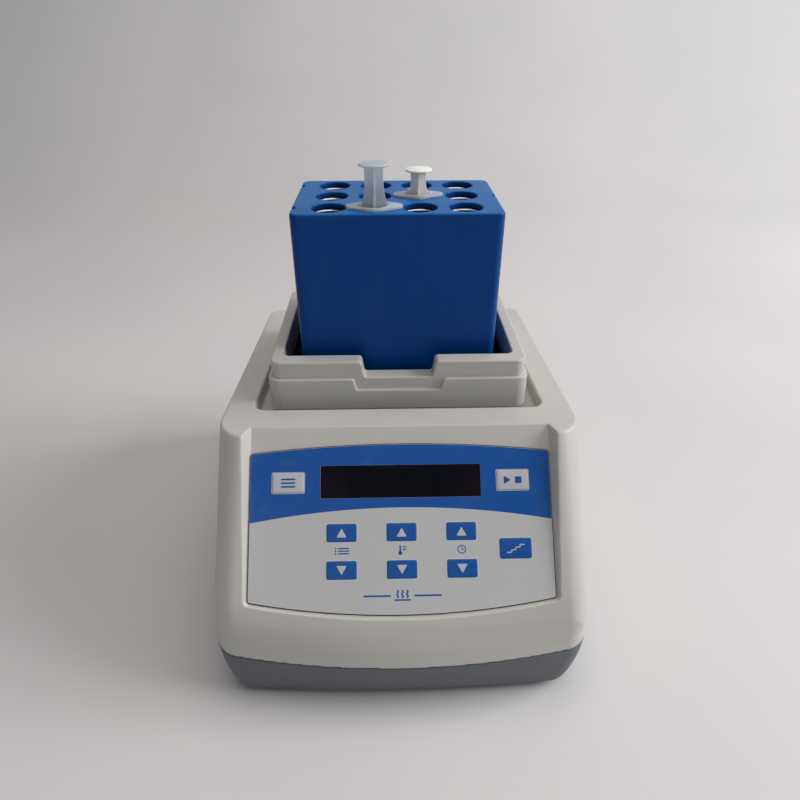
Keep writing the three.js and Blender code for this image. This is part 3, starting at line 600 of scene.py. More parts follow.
def key_look(name, colour):
    """Soft key skin: satin, with grime in the fine texture."""
    look, tree, shader = start_look(name, Specular_IOR_Level=0.45, Coat_Weight=0.15, Coat_Roughness=0.3)
    texture = noise(tree, 2800, 2, 0.5)
    grime = noise(tree, 240, 5, 0.75)
    tint = blend_colour(tree, remap(tree, grime, 0.5, 0.85, 0, 0.16), colour, shade(colour, 0.62))
    dress(tree, shader, tint, spread(tree, grime, 0.3, 0.48), [(texture, 0.2, 0.02)])
    return look


def lens_look():
    """Smoked display window over an unlit liquid-crystal module: near black, with a faint violet cast."""
    look, tree, shader = start_look("display_lens", Specular_IOR_Level=0.22)
    cast = noise(tree, 26, 3, 0.5)
    dots = node(tree, "TexChecker", {"Vector": coordinates(tree), "Scale": 1400}).outputs["Fac"]
    smear = noise(tree, 90, 6, 0.75, (1, 0.4, 0.4))
    tint = blend_colour(tree, remap(tree, cast, 0.45, 0.65, 0, 1), srgb(7, 8, 18), srgb(24, 12, 24))
    grid = blend_colour(tree, math_node(tree, "MULTIPLY", dots, 0.12), tint, srgb(22, 20, 32))
    dress(tree, shader, grid, remap(tree, smear, 0.4, 0.75, 0.07, 0.2))
    return look


def clouded_plastic(name, colour, roughness, passing):
    """Translucent polypropylene: light passes and scatters, and the gloss is slightly uneven."""
    look, tree, shader = start_look(
        name, Specular_IOR_Level=0.35, IOR=1.3, Transmission_Weight=passing,
        Subsurface_Weight=0.35, Subsurface_Scale=0.003,
    )
    haze = noise(tree, 90, 3, 0.5, (1, 1, 0.4))
    tint = blend_colour(tree, remap(tree, haze, 0.35, 0.7, 0, 1), shade(colour, 0.95), colour)
    gloss = spread(tree, haze, roughness - 0.04, roughness + 0.08)
    dress(tree, shader, tint, gloss, [(haze, 0.04, 0.1)])
    return look


def rubber_look(name, colour):
    look, tree, shader = start_look(name, Specular_IOR_Level=0.3)
    dust = noise(tree, 300, 6, 0.75)
    fine = noise(tree, 2600, 3, 0.6)
    tint = blend_colour(tree, remap(tree, dust, 0.45, 0.8, 0, 0.35), colour, srgb(110, 108, 104))
    dress(tree, shader, tint, spread(tree, dust, 0.68, 0.9), [(dust, 0.15, 0.1), (fine, 0.3, 0.05)])
    return look


def board_look():
    """Green solder mask over copper tracks that run along X and Y."""
    look, tree, shader = start_look("circuit_board", Coat_Weight=0.4, Coat_Roughness=0.15)
    across = node(tree, "TexBrick", {
        "Vector": coordinates(tree), "Scale": 220.0, "Mortar Size": 0.03, "Brick Width": 1.7,
        "Row Height": 0.4, "Color1": (0, 0, 0, 1), "Color2": (0, 0, 0, 1), "Mortar": (1, 1, 1, 1),
    }).outputs["Color"]
    weave = noise(tree, 1600, 2, 0.5)
    tint = blend_colour(tree, across, srgb(18, 84, 50), srgb(48, 128, 74))
    aged = blend_colour(tree, spread(tree, weave, 0, 0.15), tint, srgb(12, 52, 36))
    dress(tree, shader, aged, spread(tree, weave, 0.25, 0.4), [(across, 0.2, 0.04), (weave, 0.06, 0.02)])
    return look


def winding_look():
    """Yellow winding tape in overlapping turns round the transformer."""
    look, tree, shader = start_look("winding_tape", Specular_IOR_Level=0.45)
    turns = node(tree, "TexWave", {
        "Vector": coordinates(tree), "Scale": 90.0, "Distortion": 1.5, "Detail": 2.0,
    }, wave_type="RINGS", rings_direction="Z").outputs["Fac"]
    crease = noise(tree, 500, 5, 0.7)
    tint = blend_colour(tree, turns, srgb(196, 150, 52), srgb(224, 186, 88))
    aged = blend_colour(tree, remap(tree, crease, 0.5, 0.8, 0, 0.3), tint, srgb(140, 96, 34))
    dress(tree, shader, aged, spread(tree, crease, 0.35, 0.55), [(turns, 0.3, 0.15), (crease, 0.15, 0.05)])
    return look


def liner_look():
    """Dark navy sheet of the well, shiny enough to mirror the cover. Its dark colour is partly the sheet's
    own finish and partly painted shade of the narrow well.
    """
    look, tree, shader = start_look("well_finish", Metallic=0.55, Specular_IOR_Level=0.5)
    roll = noise(tree, 500, 4, 0.7, (0.1, 0.1, 1))
    stain = noise(tree, 60, 5, 0.7)
    # Near-black navy: partly the liner's own colour, partly painted shade of the narrow well.
    tint = blend_colour(tree, remap(tree, stain, 0.4, 0.8, 0, 1), srgb(22, 34, 58), srgb(40, 52, 74))
    dress(tree, shader, tint, spread(tree, roll, 0.16, 0.3), [(roll, 0.1, 0.03)])
    return look


def silicone_look():
    """Orange-red silicone heater mat with the pressed weave of its glass cloth."""
    look, tree, shader = start_look("heater_silicone", Specular_IOR_Level=0.35)
    weave = node(tree, "TexChecker", {"Vector": coordinates(tree), "Scale": 900}).outputs["Fac"]
    patch = noise(tree, 70, 4, 0.6)
    tint = blend_colour(tree, spread(tree, patch, 0, 1), srgb(168, 74, 38), srgb(190, 92, 50))
    dress(tree, shader, tint, spread(tree, patch, 0.55, 0.72), [(weave, 0.25, 0.06)])
    return look


def floor_look():
    """Matt pale bench top and backdrop."""
    look, tree, shader = start_look("backdrop_paper", Specular_IOR_Level=0.35)
    cloud = noise(tree, 3, 3, 0.5)
    fibre = noise(tree, 900, 3, 0.6)
    tint = blend_colour(tree, spread(tree, cloud, 0, 1), srgb(208, 206, 206), srgb(214, 212, 211))
    dress(tree, shader, tint, spread(tree, fibre, 0.5, 0.62), [(fibre, 0.05, 0.05)])
    return look


LOOKS = {
    "casing_plastic": moulded_plastic("casing_plastic", srgb(193, 190, 185), 0.42),
    "base_plastic": moulded_plastic("base_plastic", srgb(98, 102, 108), 0.5, grain=0.45),
    "black_plastic": moulded_plastic("black_plastic", srgb(26, 27, 30), 0.42, grain=0.3, soil=0.25),
    "cover_blue": cover_look(),
    "well_finish": liner_look(),
    "aluminium": machined_metal("aluminium", srgb(206, 208, 212), 0.28, (1, 0.05, 1)),
    # Darker aluminium for the bore walls: partly the rougher drilled finish, partly painted shade inside the
    # bores.
    "bore_shade_aluminium": machined_metal("bore_shade_aluminium", srgb(70, 76, 88), 0.5, (1, 1, 0.3)),
    "steel": machined_metal("steel", srgb(176, 178, 182), 0.3, (1, 1, 0.08)),
    "brass": machined_metal("brass", srgb(205, 168, 96), 0.26, (1, 0.06, 1)),
    "heater_silicone": silicone_look(),
    "foot_rubber": rubber_look("foot_rubber", srgb(34, 34, 36)),
    "piston_rubber": rubber_look("piston_rubber", srgb(22, 22, 24)),
    "circuit_board": board_look(),
    "overlay_film": printed_film("overlay_film", srgb(194, 193, 193)),
    "overlay_blue": printed_film("overlay_blue", srgb(2, 80, 160)),
    "border_white": printed_film("border_white", srgb(204, 208, 212)),
    "key_white": key_look("key_white", srgb(190, 190, 196)),
    "key_blue": key_look("key_blue", srgb(2, 80, 158)),
    "display_lens": lens_look(),
    "fuse_glass": clouded_plastic("fuse_glass", srgb(225, 230, 232), 0.1, 0.9),
    "winding_tape": winding_look(),
    "clear_plastic": clouded_plastic("clear_plastic", srgb(226, 234, 242), 0.38, 0.55),
    "ivory_plastic": clouded_plastic("ivory_plastic", srgb(250, 249, 240), 0.36, 0.04),
}


# ------------------------------------------------------------------ casing, collar and cover as fields
FRONT, REAR = HOUSING_LOW[1], HOUSING_HIGH[1]
SHOULDER_Z = 60.0  # above this height the front wall is straight
CHIN_LEAN, CHEEK_LEAN, CHEEK_FOOT_Z = 0.371, 0.811, 53.5  # run to the rear for each mm of rise
REAR_DRAFT = 1.6
FRONT_RADIUS, REAR_RADIUS, TOP_RADIUS = (12.0, 15.0), 9.0, 1.3
FRONT_BOW, TOP_BOW, BOW_WIDTH, BOW_REACH = 7.7, 1.2, 80.0, 32.0
CHEEK_BACK = 11.5  # the cheeks start this far behind the foremost point
NOTCH_DEPTH, STEP_NOTCH_DEPTH = 9.6, 6.9
NOTCH_REAR = -30.0  # y from the block's middle, in the well behind the notched wall
RECESS_HALF, RECESS_FLARE = 79.0, 0.5
COLLAR_INNER, COLLAR_OUTER, COLLAR_SKIRT = (64.9, 43.4), (71.4, 52.5), (73.4, 54.5)
COLLAR_TOP, COLLAR_STEP, COLLAR_BOTTOM = 148.4, 138.3, 118.5
INLET = {"x": -56.0, "z": 66.0, "half": (14.0, 23.0)}
SWITCH = {"x": -22.0, "z": 66.0, "half": (7.0, 10.5)}
FAN = {"x": 42.0, "z": 70.0, "half": 30.0, "reach": 27.0, "slots": 7, "pitch": 7.4, "slot_half": 2.2}
BOSSES = [(-84, MID_Y - 96, 78), (84, MID_Y - 96, 78), (-84, MID_Y + 106, 116), (84, MID_Y + 106, 116)]
FOOT_HEIGHT = TRAY_LOW[2]


def sloping_top(y):
    return TOP_REF[1] - TOP_SLOPE * (y - MID_Y - TOP_REF[0])


def side_half(z):
    return HALF_WIDTH - np.interp(z, [PARTING_Z, SHOULDER_Z, TOP_REF[1]], [0, 0.8, 1.3])


def front_bow(x, z):
    """How far the front wall falls back from the middle to the sides."""
    t = np.clip((z - PARTING_Z) / BOW_REACH, 0, 1)
    bow = FRONT_BOW + (TOP_BOW - FRONT_BOW) * t * t * (3 - 2 * t)
    return bow * (x / BOW_WIDTH) ** 2


def front_radius(z):
    """Plan radius of the two front corners, growing from the parting line to the top."""
    return np.interp(z, [PARTING_Z, TOP_REF[1]], FRONT_RADIUS)


def housing_walls(x, y, z):
    back = front_bow(x, z)
    chin = (FRONT + CHIN_LEAN * (z - PARTING_Z) + back - y) * 0.94
    cheek = (FRONT + CHEEK_BACK + CHEEK_LEAN * (z - CHEEK_FOOT_Z) + back - y) * 0.78
    walls = smooth_max(np.abs(x) - side_half(z), smooth_max(chin, cheek, 2.6), front_radius(z))
    rear = y - (REAR - REAR_DRAFT * np.clip((z - SHOULDER_Z) / (TOP_REF[1] - SHOULDER_Z), 0, 1))
    walls = smooth_max(walls, rear, REAR_RADIUS)
    return smooth_max(walls, (z - sloping_top(y)) * math.cos(math.atan(TOP_SLOPE)), TOP_RADIUS)


def panel_coordinates(x, y, z):
    """x across, v up the panel's slope, w out of the panel."""
    dy, dz = y - MID_Y - PANEL_ORIGIN[0], z - PANEL_ORIGIN[1]
    cos, sin = math.cos(PANEL_SLOPE), math.sin(PANEL_SLOPE)
    return x, cos * dy + sin * dz, cos * dz - sin * dy


def recess_field(x, y, z):
    u, v, w = panel_coordinates(x, y, z)
    sides = (np.abs(u) - RECESS_HALF - RECESS_FLARE * w) / math.hypot(1, RECESS_FLARE)
    low_edge = -OVERLAY_LENGTH - 0.7 - OVERLAY_LOW_BOW * (1 - (u / RECESS_HALF) ** 2)
    foot = (low_edge - RECESS_FLARE * w - v) / math.hypot(1, RECESS_FLARE)
    return smooth_max(smooth_max(sides, foot, 1.8), -w, 0.5)


def housing_solid(x, y, z):
    pocket = smooth_max(
        rounded_rect(x, y - BLOCK_Y, *POCKET_HALF, 7.5), sloping_top(y) - POCKET_DEPTH - z, 1.2
    )
    whole = smooth_max(housing_walls(x, y, z), -recess_field(x, y, z), 0.6)
    return smooth_max(whole, -pocket, 1.3)


def wall_slots(x, y, z):
    """Openings in the rear wall: fan slots, mains inlet and power switch."""
    depth = REAR - 12 - y
    cuts = np.minimum(*(
        box_field(x, y, z, (part["x"] - part["half"][0], REAR - 12, part["z"] - part["half"][1]),
                  (part["x"] + part["half"][0], REAR + 9, part["z"] + part["half"][1]))
        for part in (INLET, SWITCH)
    ))
    for k in range(FAN["slots"]):
        middle = FAN["x"] + (k - (FAN["slots"] - 1) / 2) * FAN["pitch"]
        reach = math.sqrt(FAN["reach"] ** 2 - (middle - FAN["x"]) ** 2)
        slot = rounded_rect(x - middle, z - FAN["z"], FAN["slot_half"], reach, FAN["slot_half"] - 0.05)
        cuts = np.minimum(cuts, np.maximum(slot, depth))
    return cuts


def housing_field(x, y, z):
    whole = housing_solid(x, y, z)
    shell = smooth_max(smooth_max(whole, PARTING_Z - z, 0.7), -(whole + WALL), 0.5)
    well = rounded_rect(x, y - BLOCK_Y, COLLAR_INNER[0] + 4.2, COLLAR_INNER[1] + 4.2, 6.0)
    shell = smooth_max(shell, -np.maximum(well, 60 - z), 0.5)
    u, v, w = panel_coordinates(x, y, z)
    through = np.maximum(-20 - w, w - 2)
    holes = rounded_rect(u, v - WINDOW["y"], WINDOW["half"][0] + 0.4, WINDOW["half"][1] + 0.4, 0.5)
    for key_x, key_y, half in KEYS.values():
        holes = np.minimum(holes, rounded_rect(u - key_x, v - key_y, half[0] + 0.5, half[1] + 0.5, 1.2))
    shell = np.maximum(shell, -np.maximum(holes, through))
    shell = smooth_max(shell, -wall_slots(x, y, z), 0.5)
    for bx, by, top in BOSSES:
        boss = post_field(x, y, z, (bx, by), 4.5, PARTING_Z - BOSS_BELOW, top)
        boss = np.maximum(boss, whole + 1.2)
        shell = smooth_min(shell, boss, 0.8)
        shell = np.maximum(shell, -post_field(x, y, z, (bx, by), 1.6, PARTING_Z - 8, PARTING_Z + 12))
    return shell


def tray_walls(x, y, z):
    drop = TRAY_HIGH[2] - z
    half = HALF_WIDTH - 0.1 - 0.0889 * drop - 0.0059 * drop ** 2
    bow = (FRONT_BOW - 0.178 * drop) * (x / BOW_WIDTH) ** 2
    front = FRONT + 0.1 + 0.0964 * drop + 0.00476 * drop ** 2 + bow
    walls = smooth_max(np.abs(x) - half, (front - y) * 0.97, FRONT_RADIUS[0])
    return smooth_max(walls, y - (REAR - (HALF_WIDTH - half)), REAR_RADIUS)


def tray_field(x, y, z):
    walls = tray_walls(x, y, z)
    whole = smooth_max(smooth_max(walls, FOOT_HEIGHT - z, 3.0), z - TRAY_HIGH[2], 0.6)
    hollow = smooth_max(walls + WALL, FOOT_HEIGHT + WALL - z, 2.0)
    shell = smooth_max(whole, -hollow, 0.4)
    for bx, by, _ in BOSSES:
        boss = post_field(x, y, z, (bx, by), 5.4, FOOT_HEIGHT + 1, PARTING_Z - BOSS_BELOW - 0.3)
        shell = smooth_min(shell, boss, 0.6)
    for bx in (-20, 66):
        for by in (67, 114):
            post = post_field(x, y, z, (bx, MID_Y + by), 3.0, FOOT_HEIGHT + 1, FOOT_HEIGHT + WALL + 8.7)
            shell = smooth_min(shell, post, 0.6)
    for bx, by, _ in BOSSES:
        shell = np.maximum(shell, -post_field(x, y, z, (bx, by), 3.3, FOOT_HEIGHT - 1, FOOT_HEIGHT + 8))
        shell = np.maximum(shell, -post_field(x, y, z, (bx, by), 1.9, FOOT_HEIGHT - 1, PARTING_Z + 2))
    vents = 8
    for k in range(vents):
        slot = rounded_rect(x - (k - (vents - 1) / 2) * 9, y - MID_Y + 64, 1.6, 20, 1.55)
        shell = smooth_max(shell, -np.maximum(slot, z - FOOT_HEIGHT - 5), 0.4)
    return shell


def notch_field(x, z, half_top, half_floor, floor, top):
    """A gap with sloping sides, open at the top."""
    slope = (half_top - half_floor) / (top - floor)
    side = (np.abs(x) - half_floor - slope * (z - floor)) / math.hypot(1, slope)
    return smooth_max(side, floor - z, 1.2)


def collar_field(x, y, z):
    by = y - BLOCK_Y
    upper = rounded_rect(x, by, *COLLAR_OUTER, 6.0)
    gap = notch_field(x, z, 20.4, 18.9, COLLAR_TOP - NOTCH_DEPTH, COLLAR_TOP)
    brim = np.where(by < NOTCH_REAR, smooth_max(z - COLLAR_TOP, -gap, 2.2), z - COLLAR_TOP)
    upper = smooth_max(np.maximum(upper, COLLAR_STEP - 10 - z), brim, 0.8)
    skirt = rounded_rect(x, by, *COLLAR_SKIRT, 7.0)
    step = notch_field(x, z, 25.0, 23.9, COLLAR_STEP - STEP_NOTCH_DEPTH, COLLAR_STEP)
    ledge = np.where(by < 0, smooth_max(z - COLLAR_STEP, -step, 1.6), z - COLLAR_STEP)
    skirt = smooth_max(smooth_max(skirt, ledge, 0.7), COLLAR_BOTTOM - z, 1.4)
    both = smooth_min(upper, skirt, 0.3)
    behind = np.maximum(by - NOTCH_REAR, COLLAR_TOP - NOTCH_DEPTH - z)
    both = smooth_max(both, -np.maximum(gap, behind), 0.8)
    neck = rounded_rect(x, by, COLLAR_INNER[0] + 3.6, COLLAR_INNER[1] + 3.6, 5.0)
    neck = np.maximum(neck, np.maximum(COLLAR_LOW[2] - z, z - COLLAR_BOTTOM - 5))
    both = smooth_min(both, neck, 0.8)
    return smooth_max(both, -rounded_rect(x, by, *COLLAR_INNER, 4.0), 0.8)


COVER_HALF = ((COVER_HIGH[0] - COVER_LOW[0]) / 2, (COVER_HIGH[1] - COVER_LOW[1]) / 2)
COVER_WALL = 3.2
HOLE_RADIUS = 9.0
HOLES = [
    ((column - 1.5) * PITCH, BLOCK_Y + (row - 1) * PITCH) for row in range(3) for column in range(4)
]


def cover_field(x, y, z):
    by = y - BLOCK_Y
    whole = smooth_max(rounded_rect(x, by, *COVER_HALF, 4.5), z - COVER_HIGH[2], 1.2)
    whole = smooth_max(whole, COVER_LOW[2] - z, 0.6)
    inside = rounded_rect(x, by, COVER_HALF[0] - COVER_WALL, COVER_HALF[1] - COVER_WALL, 2.4)
    shell = smooth_max(whole, -np.maximum(inside, z - COVER_HIGH[2] + COVER_WALL), 0.5)
    column = np.clip(np.round(x / PITCH + 1.5), 0, 3) - 1.5
    row = np.clip(np.round(by / PITCH + 1), 0, 2) - 1
    hole = np.sqrt((x - column * PITCH) ** 2 + (by - row * PITCH) ** 2) - HOLE_RADIUS
    shell = smooth_max(shell, -np.maximum(hole, COVER_HIGH[2] - 8 - z), 0.7)
    for side, place in ((-1, 1), (-1, -1), (1, 0)):
        notch = np.sqrt((x - side * COVER_HALF[0]) ** 2 + (by - place * PITCH) ** 2) - 2.3
        shell = smooth_max(shell, -np.maximum(notch, COVER_HIGH[2] - COVER_WALL + 0.4 - z), 0.4)
    return shell


SHELLS = {
    "housing_shell": ("upper_housing", housing_field, 1.0, "casing_plastic"),
    "tray_shell": ("base_tray", tray_field, 1.0, "base_plastic"),
    "collar_shell": ("block_collar", collar_field, 0.8, "casing_plastic"),
    "cover_shell": ("block_cover", cover_field, 0.9, "cover_blue"),
}


def make_shells():
    for name, (replaced, field, step, look) in SHELLS.items():
        finish_piece(shell_piece(name, field, *box_mm(replaced), step), replaced, LOOKS[look])


# ------------------------------------------------------------------ block, well and feet
BORE_RADIUS, BORE_DEPTH, RIM_CHAMFER = 8.5, 100.0, 0.5


def make_block():
    low, high = BLOCK_LOW, BLOCK_HIGH
    half = ((high[0] - low[0]) / 2, (high[1] - low[1]) / 2)
    block = prism("block", outline_rect(*half, 2.0, (0, BLOCK_Y)), low[2], high[2], 0.6)
    top = high[2]
    floor = top - BORE_DEPTH
    bore = [(0, floor - 3), (BORE_RADIUS, floor), (BORE_RADIUS, top - RIM_CHAMFER),
            (BORE_RADIUS + RIM_CHAMFER, top), (BORE_RADIUS + RIM_CHAMFER, top + 1), (0, top + 1)]
    cutters = [lathe(f"bore_{k}", bore, centre, 64) for k, centre in enumerate(HOLES)]
    combine(block, cutters)
    soften(block, 0)
    block.name = "bored_block"
    finish_piece(block, "aluminium_block", LOOKS["aluminium"])
    # Bore walls below the chamfer get the dark aluminium, which is painted shade in the bores.
    block.data.materials.append(LOOKS["bore_shade_aluminium"])
    for face in block.data.polygons:
        centre = np.array(face.center) / MM
        nearest = min(math.dist(centre[:2], hole) for hole in HOLES)
        if nearest < BORE_RADIUS + 0.05 and floor - 4 < centre[2] < top - RIM_CHAMFER:
            face.material_index = 1


def make_feet():
    for k in range(4):
        node_name = f"foot_{k + 1}"
        low, high = box_mm(node_name)
        radius = (high[0] - low[0]) / 2
        face = radius - 1.4
        profile = [(0, 0.5), (face - 3.4, 0.5), (face - 3.0, 0), *arc((face - 0.8, 0.8), 0.8, -90, 0, 4),
                   (radius, high[2] - 0.9), (radius, high[2]), (0, high[2])]
        centre = plan_centre(low, high)
        turned_piece(f"rubber_{node_name}", profile, centre, node_name, "foot_rubber", 72, 35)


def screw(name, centre, head_low, head_radius, head_height, tip, slot_half):
    """A pan-head cross-recess screw that stands upright with its head down."""
    shank, head_top = 1.4, head_low + head_height
    edge = arc((head_radius - 0.6, head_low + 0.6), 0.6, -60, 0, 3)
    profile = [(0, head_low), (head_radius - 0.5, head_low), *edge, (head_radius, head_top),
               (shank, head_top), (shank, tip - 1.2), (0, tip)]
    made = lathe(name, profile, centre, 40)
    arms = [
        prism("arm", outline_rect(*half, 0.1, centre, 1), head_low - 1, head_low + 1.3)
        for half in ((slot_half, 0.38), (0.38, slot_half))
    ]
    combine(made, arms)
    return soften(made, 0, angle=30)


def make_housing_screws():
    for k in range(4):
        node_name = f"housing_screw_{k + 1}"
        low, high = box_mm(node_name)
        head_radius = (high[0] - low[0]) / 2
        made = screw(f"cross_{node_name}", plan_centre(low, high), low[2], head_radius, 2.4, high[2], 1.7)
        finish_piece(made, node_name, LOOKS["steel"])


# ------------------------------------------------------------------ control panel
def to_panel(made):
    made.data.transform(PANEL)
    return made


def eased_corner(before, corner, after, radius, steps=5):
    """Points of a rounded corner between two straight edges."""
    corner = np.array(corner, float)
    edges = [np.array(point) - corner for point in (before, after)]
    first, last = (corner + radius * edge / np.linalg.norm(edge) for edge in edges)
    return [
        tuple((1 - t) ** 2 * first + 2 * t * (1 - t) * corner + t * t * last)
        for t in (k / steps for k in range(steps + 1))
    ]


def overlay_edge(top_bow, low_y, low_bow, grow=0.0, steps=40, low_radius=OVERLAY_CORNER):
    """The closed outline between two bowed edges of the overlay's width, anticlockwise."""
    half = OVERLAY_HALF + grow
    across = [half - 2 * half * k / steps for k in range(steps + 1)]
    upper = [(x, grow + top_bow * (1 - (x / half) ** 2)) for x in across]
    lower = [(x, low_y - grow + low_bow * (1 - (x / half) ** 2)) for x in reversed(across)]
    edge = eased_corner(lower[-1], upper[0], upper[1], OVERLAY_CORNER + grow) + upper[1:-1]
    edge += eased_corner(upper[-2], upper[-1], lower[0], OVERLAY_CORNER + grow)
    edge += eased_corner(upper[-1], lower[0], lower[1], low_radius + grow) + lower[1:-1]
    return edge + eased_corner(lower[-2], lower[-1], upper[0], low_radius + grow)


def key_gap(key, clear, low, high):
    x, y, half = KEYS[key]
    return prism("gap", outline_rect(half[0] + clear, half[1] + clear, 1.0, (x, y), 6), low, high)


def window_gap(clear, low, high):
    half = WINDOW["half"]
    outline = outline_rect(half[0] + clear, half[1] + clear, 0.6, (0, WINDOW["y"]), 4)
    return prism("gap", outline, low, high)


def frame_print(name, x, y, half, width, radius):
    """A flat printed outline round a key."""
    outer = outline_rect(half[0] + width, half[1] + width, radius + width, (x, y), 6)
    inner = outline_rect(*half, radius, (x, y), 6)
    return combine(prism(name, outer, *INK), [prism("inner", inner, INK[0] - 1, INK[1] + 1)])


INK = (OVERLAY_FACE - 0.02, OVERLAY_FACE + 0.03)  # printed ink stands a little out of the film
THROUGH = (-1, 3)  # depth of a cut right through the film
BAND_LOW, BAND_BOW = -35.6, 7.0  # the blue band's lower edge at the sides, and its rise in the middle
BAND_KEYS = ("key_option", "key_start_stop")


def film_edge(grow=0.0):
    return overlay_edge(OVERLAY_TOP_BOW, -OVERLAY_LENGTH, -OVERLAY_LOW_BOW, grow)


def printed(name, made, look):
    """Puts a printed or glued piece on the panel."""
    made.name = name
    made.data.materials.append(LOOKS[look])
    extra_piece(to_panel(made), "casing")


def make_overlay():
    sheet = prism("film", film_edge(), OVERLAY_BACK, OVERLAY_FACE, 0.12, 2)
    combine(sheet, [key_gap(key, 0.1, *THROUGH) for key in KEYS] + [window_gap(0.1, *THROUGH)])
    sheet.name = "overlay_sheet"
    soften(sheet, 0, angle=25)
    finish_piece(to_panel(sheet), "panel_overlay", LOOKS["overlay_film"])

    band = prism("band", overlay_edge(OVERLAY_TOP_BOW, BAND_LOW, BAND_BOW, -0.15, low_radius=0.3), *INK)
    combine(band, [key_gap(key, 0.5, *THROUGH) for key in BAND_KEYS] + [window_gap(0.15, *THROUGH)])
    printed("blue_band", band, "overlay_blue")
    for key, (x, y, half) in KEYS.items():
        if key not in BAND_KEYS:
            ring = frame_print("ring", x, y, (half[0] + 0.12, half[1] + 0.12), 0.5, 1.0)
            printed(f"{key}_border", ring, "border_white")
    make_symbols()
    make_overlay_gap()


def make_overlay_gap():
    """A black ring round the overlay's edge, at the bottom of its recess: painted shadow standing in for the
    shade in the gap there.
    """
    ring = prism("overlay_gap_shadow", film_edge(0.42), 0.02, 0.5)
    combine(ring, [prism("inside", film_edge(0.02), *THROUGH)])
    printed("overlay_gap_shadow", ring, "black_plastic")


def stroke(points, width, low, high):
    """A line of even width through the points, with round ends, as one flat solid."""
    line = np.array(points, float)
    along = np.gradient(line, axis=0)
    along /= np.linalg.norm(along, axis=1)[:, None]
    left = np.stack([-along[:, 1], along[:, 0]], 1) * width / 2
    outline = []
    for side, end, way in ((line - left, line[-1], along[-1]), ((line + left)[::-1], line[0], -along[0])):
        outline += [tuple(p) for p in side]
        outline += arc(end, width / 2, *end_turn(way), 6)[1:-1]
    return prism("stroke", outline, low, high)


def end_turn(way):
    """First and last angle, in degrees, of a stroke's round end."""
    heading = math.degrees(math.atan2(way[1], way[0]))
    return heading - 90, heading + 90


def disc(centre, radius, low, high):
    return prism("disc", arc(centre, radius, 0, 360, 28)[:-1], low, high)


def program_symbol(low, high):
    """Three short lines, as in a list."""
    parts = []
    for y in (-1.05, 0, 1.05):
        parts.append(disc((-2.3, y), 0.32, low, high))
        parts.append(stroke([(-1.2, y), (2.8, y)], 0.5, low, high))
    return parts


def temperature_symbol(low, high):
    """A thermometer beside three scale marks."""
    stem = stroke([(-0.6, -0.9), (-0.6, 1.7)], 0.62, low, high)
    marks = [stroke([(0.5, y), (1.7, y)], 0.34, low, high) for y in (0.1, 0.8, 1.5)]
    return [stem, disc((-0.6, -1.15), 0.78, low, high), *marks]


def time_symbol(low, high):
    """A clock face with two hands."""
    ring = combine(disc((0, 0), 1.75, low, high), [disc((0, 0), 1.38, low - 1, high + 1)])
    return [ring] + [stroke([(0, 0), tip], 0.32, low, high) for tip in ((0, 1.05), (0.75, -0.25))]


def heat_symbol(low, high):
    """Three rising waves over a bar, between two thin rules."""
    wave = [(0.28 * math.sin(2 * math.pi * k / 12), -0.9 + 2.7 * k / 18) for k in range(19)]
    parts = [stroke([(dx + x, y) for x, y in wave], 0.6, low, high) for dx in (-1.9, 0, 1.9)]
    parts.append(stroke([(-3.0, -1.85), (3.0, -1.85)], 0.6, low, high))
    return parts + [stroke([(side * 4.8, -0.2), (side * 15.0, -0.2)], 0.7, low, high) for side in (-1, 1)]


SYMBOL_SCALE = (1.3, 1.25)
SYMBOLS = {
    "program_symbol": (program_symbol, (-30.9, -50.1)),
    "temperature_symbol": (temperature_symbol, (0.0, -50.1)),
    "time_symbol": (time_symbol, (30.9, -50.1)),
    "heat_symbol": (heat_symbol, (0.0, -72.4)),
}


def make_symbols():
    """Plain symbols printed on the overlay in place of words."""
    for name, (draw, (x, y)) in SYMBOLS.items():
        parts = draw(*INK)
        for part in parts:
            part.data.materials.append(LOOKS["overlay_blue"])
        made = joined(name, parts)
        place = Matrix.Translation((x * MM, y * MM, 0))
        made.data.transform(place @ Matrix.Diagonal((*SYMBOL_SCALE, 1, 1)))
        extra_piece(to_panel(made), "casing")


def rounded_polygon(corners, radius, steps=4):
    """An anticlockwise polygon with its corners rounded."""
    outline = []
    count = len(corners)
    for k in range(count):
        here = np.array(corners[k], float)
        back = np.array(corners[k - 1], float) - here
        ahead = np.array(corners[(k + 1) % count], float) - here
        back /= np.linalg.norm(back)
        ahead /= np.linalg.norm(ahead)
        half_angle = math.acos(np.clip(back @ ahead, -1, 1)) / 2
        reach = radius / math.tan(half_angle)
        middle = here + (back + ahead) / np.linalg.norm(back + ahead) * radius / math.sin(half_angle)
        first = here + back * reach - middle
        last = here + ahead * reach - middle
        start = math.atan2(first[1], first[0])
        turn = (math.atan2(last[1], last[0]) - start) % (2 * math.pi)
        for s in range(steps + 1):
            angle = start + turn * s / steps
            outline.append((middle[0] + radius * math.cos(angle), middle[1] + radius * math.sin(angle)))
    return outline


def arrow(x, y, way, low, high):
    corners = [(x - 2.65, y - 2.3 * way), (x + 2.65, y - 2.3 * way), (x, y + 2.3 * way)]
    if way < 0:
        corners.reverse()
    return [prism("arrow", rounded_polygon(corners, 0.25), low, high, 0.05, 1)]


def option_mark(x, y, low, high):
    return [stroke([(x - 3.4, y + dy), (x + 3.4, y + dy)], 0.8, low, high) for dy in (-1.9, 0, 1.9)]


def start_stop_mark(x, y, low, high):
    start = rounded_polygon([(x - 4.6, y - 2.1), (x - 0.9, y), (x - 4.6, y + 2.1)], 0.2)
    stop = outline_rect(1.7, 1.7, 0.25, (x + 3.0, y), 3)
    return [prism("start", start, low, high), prism("stop", stop, low, high)]


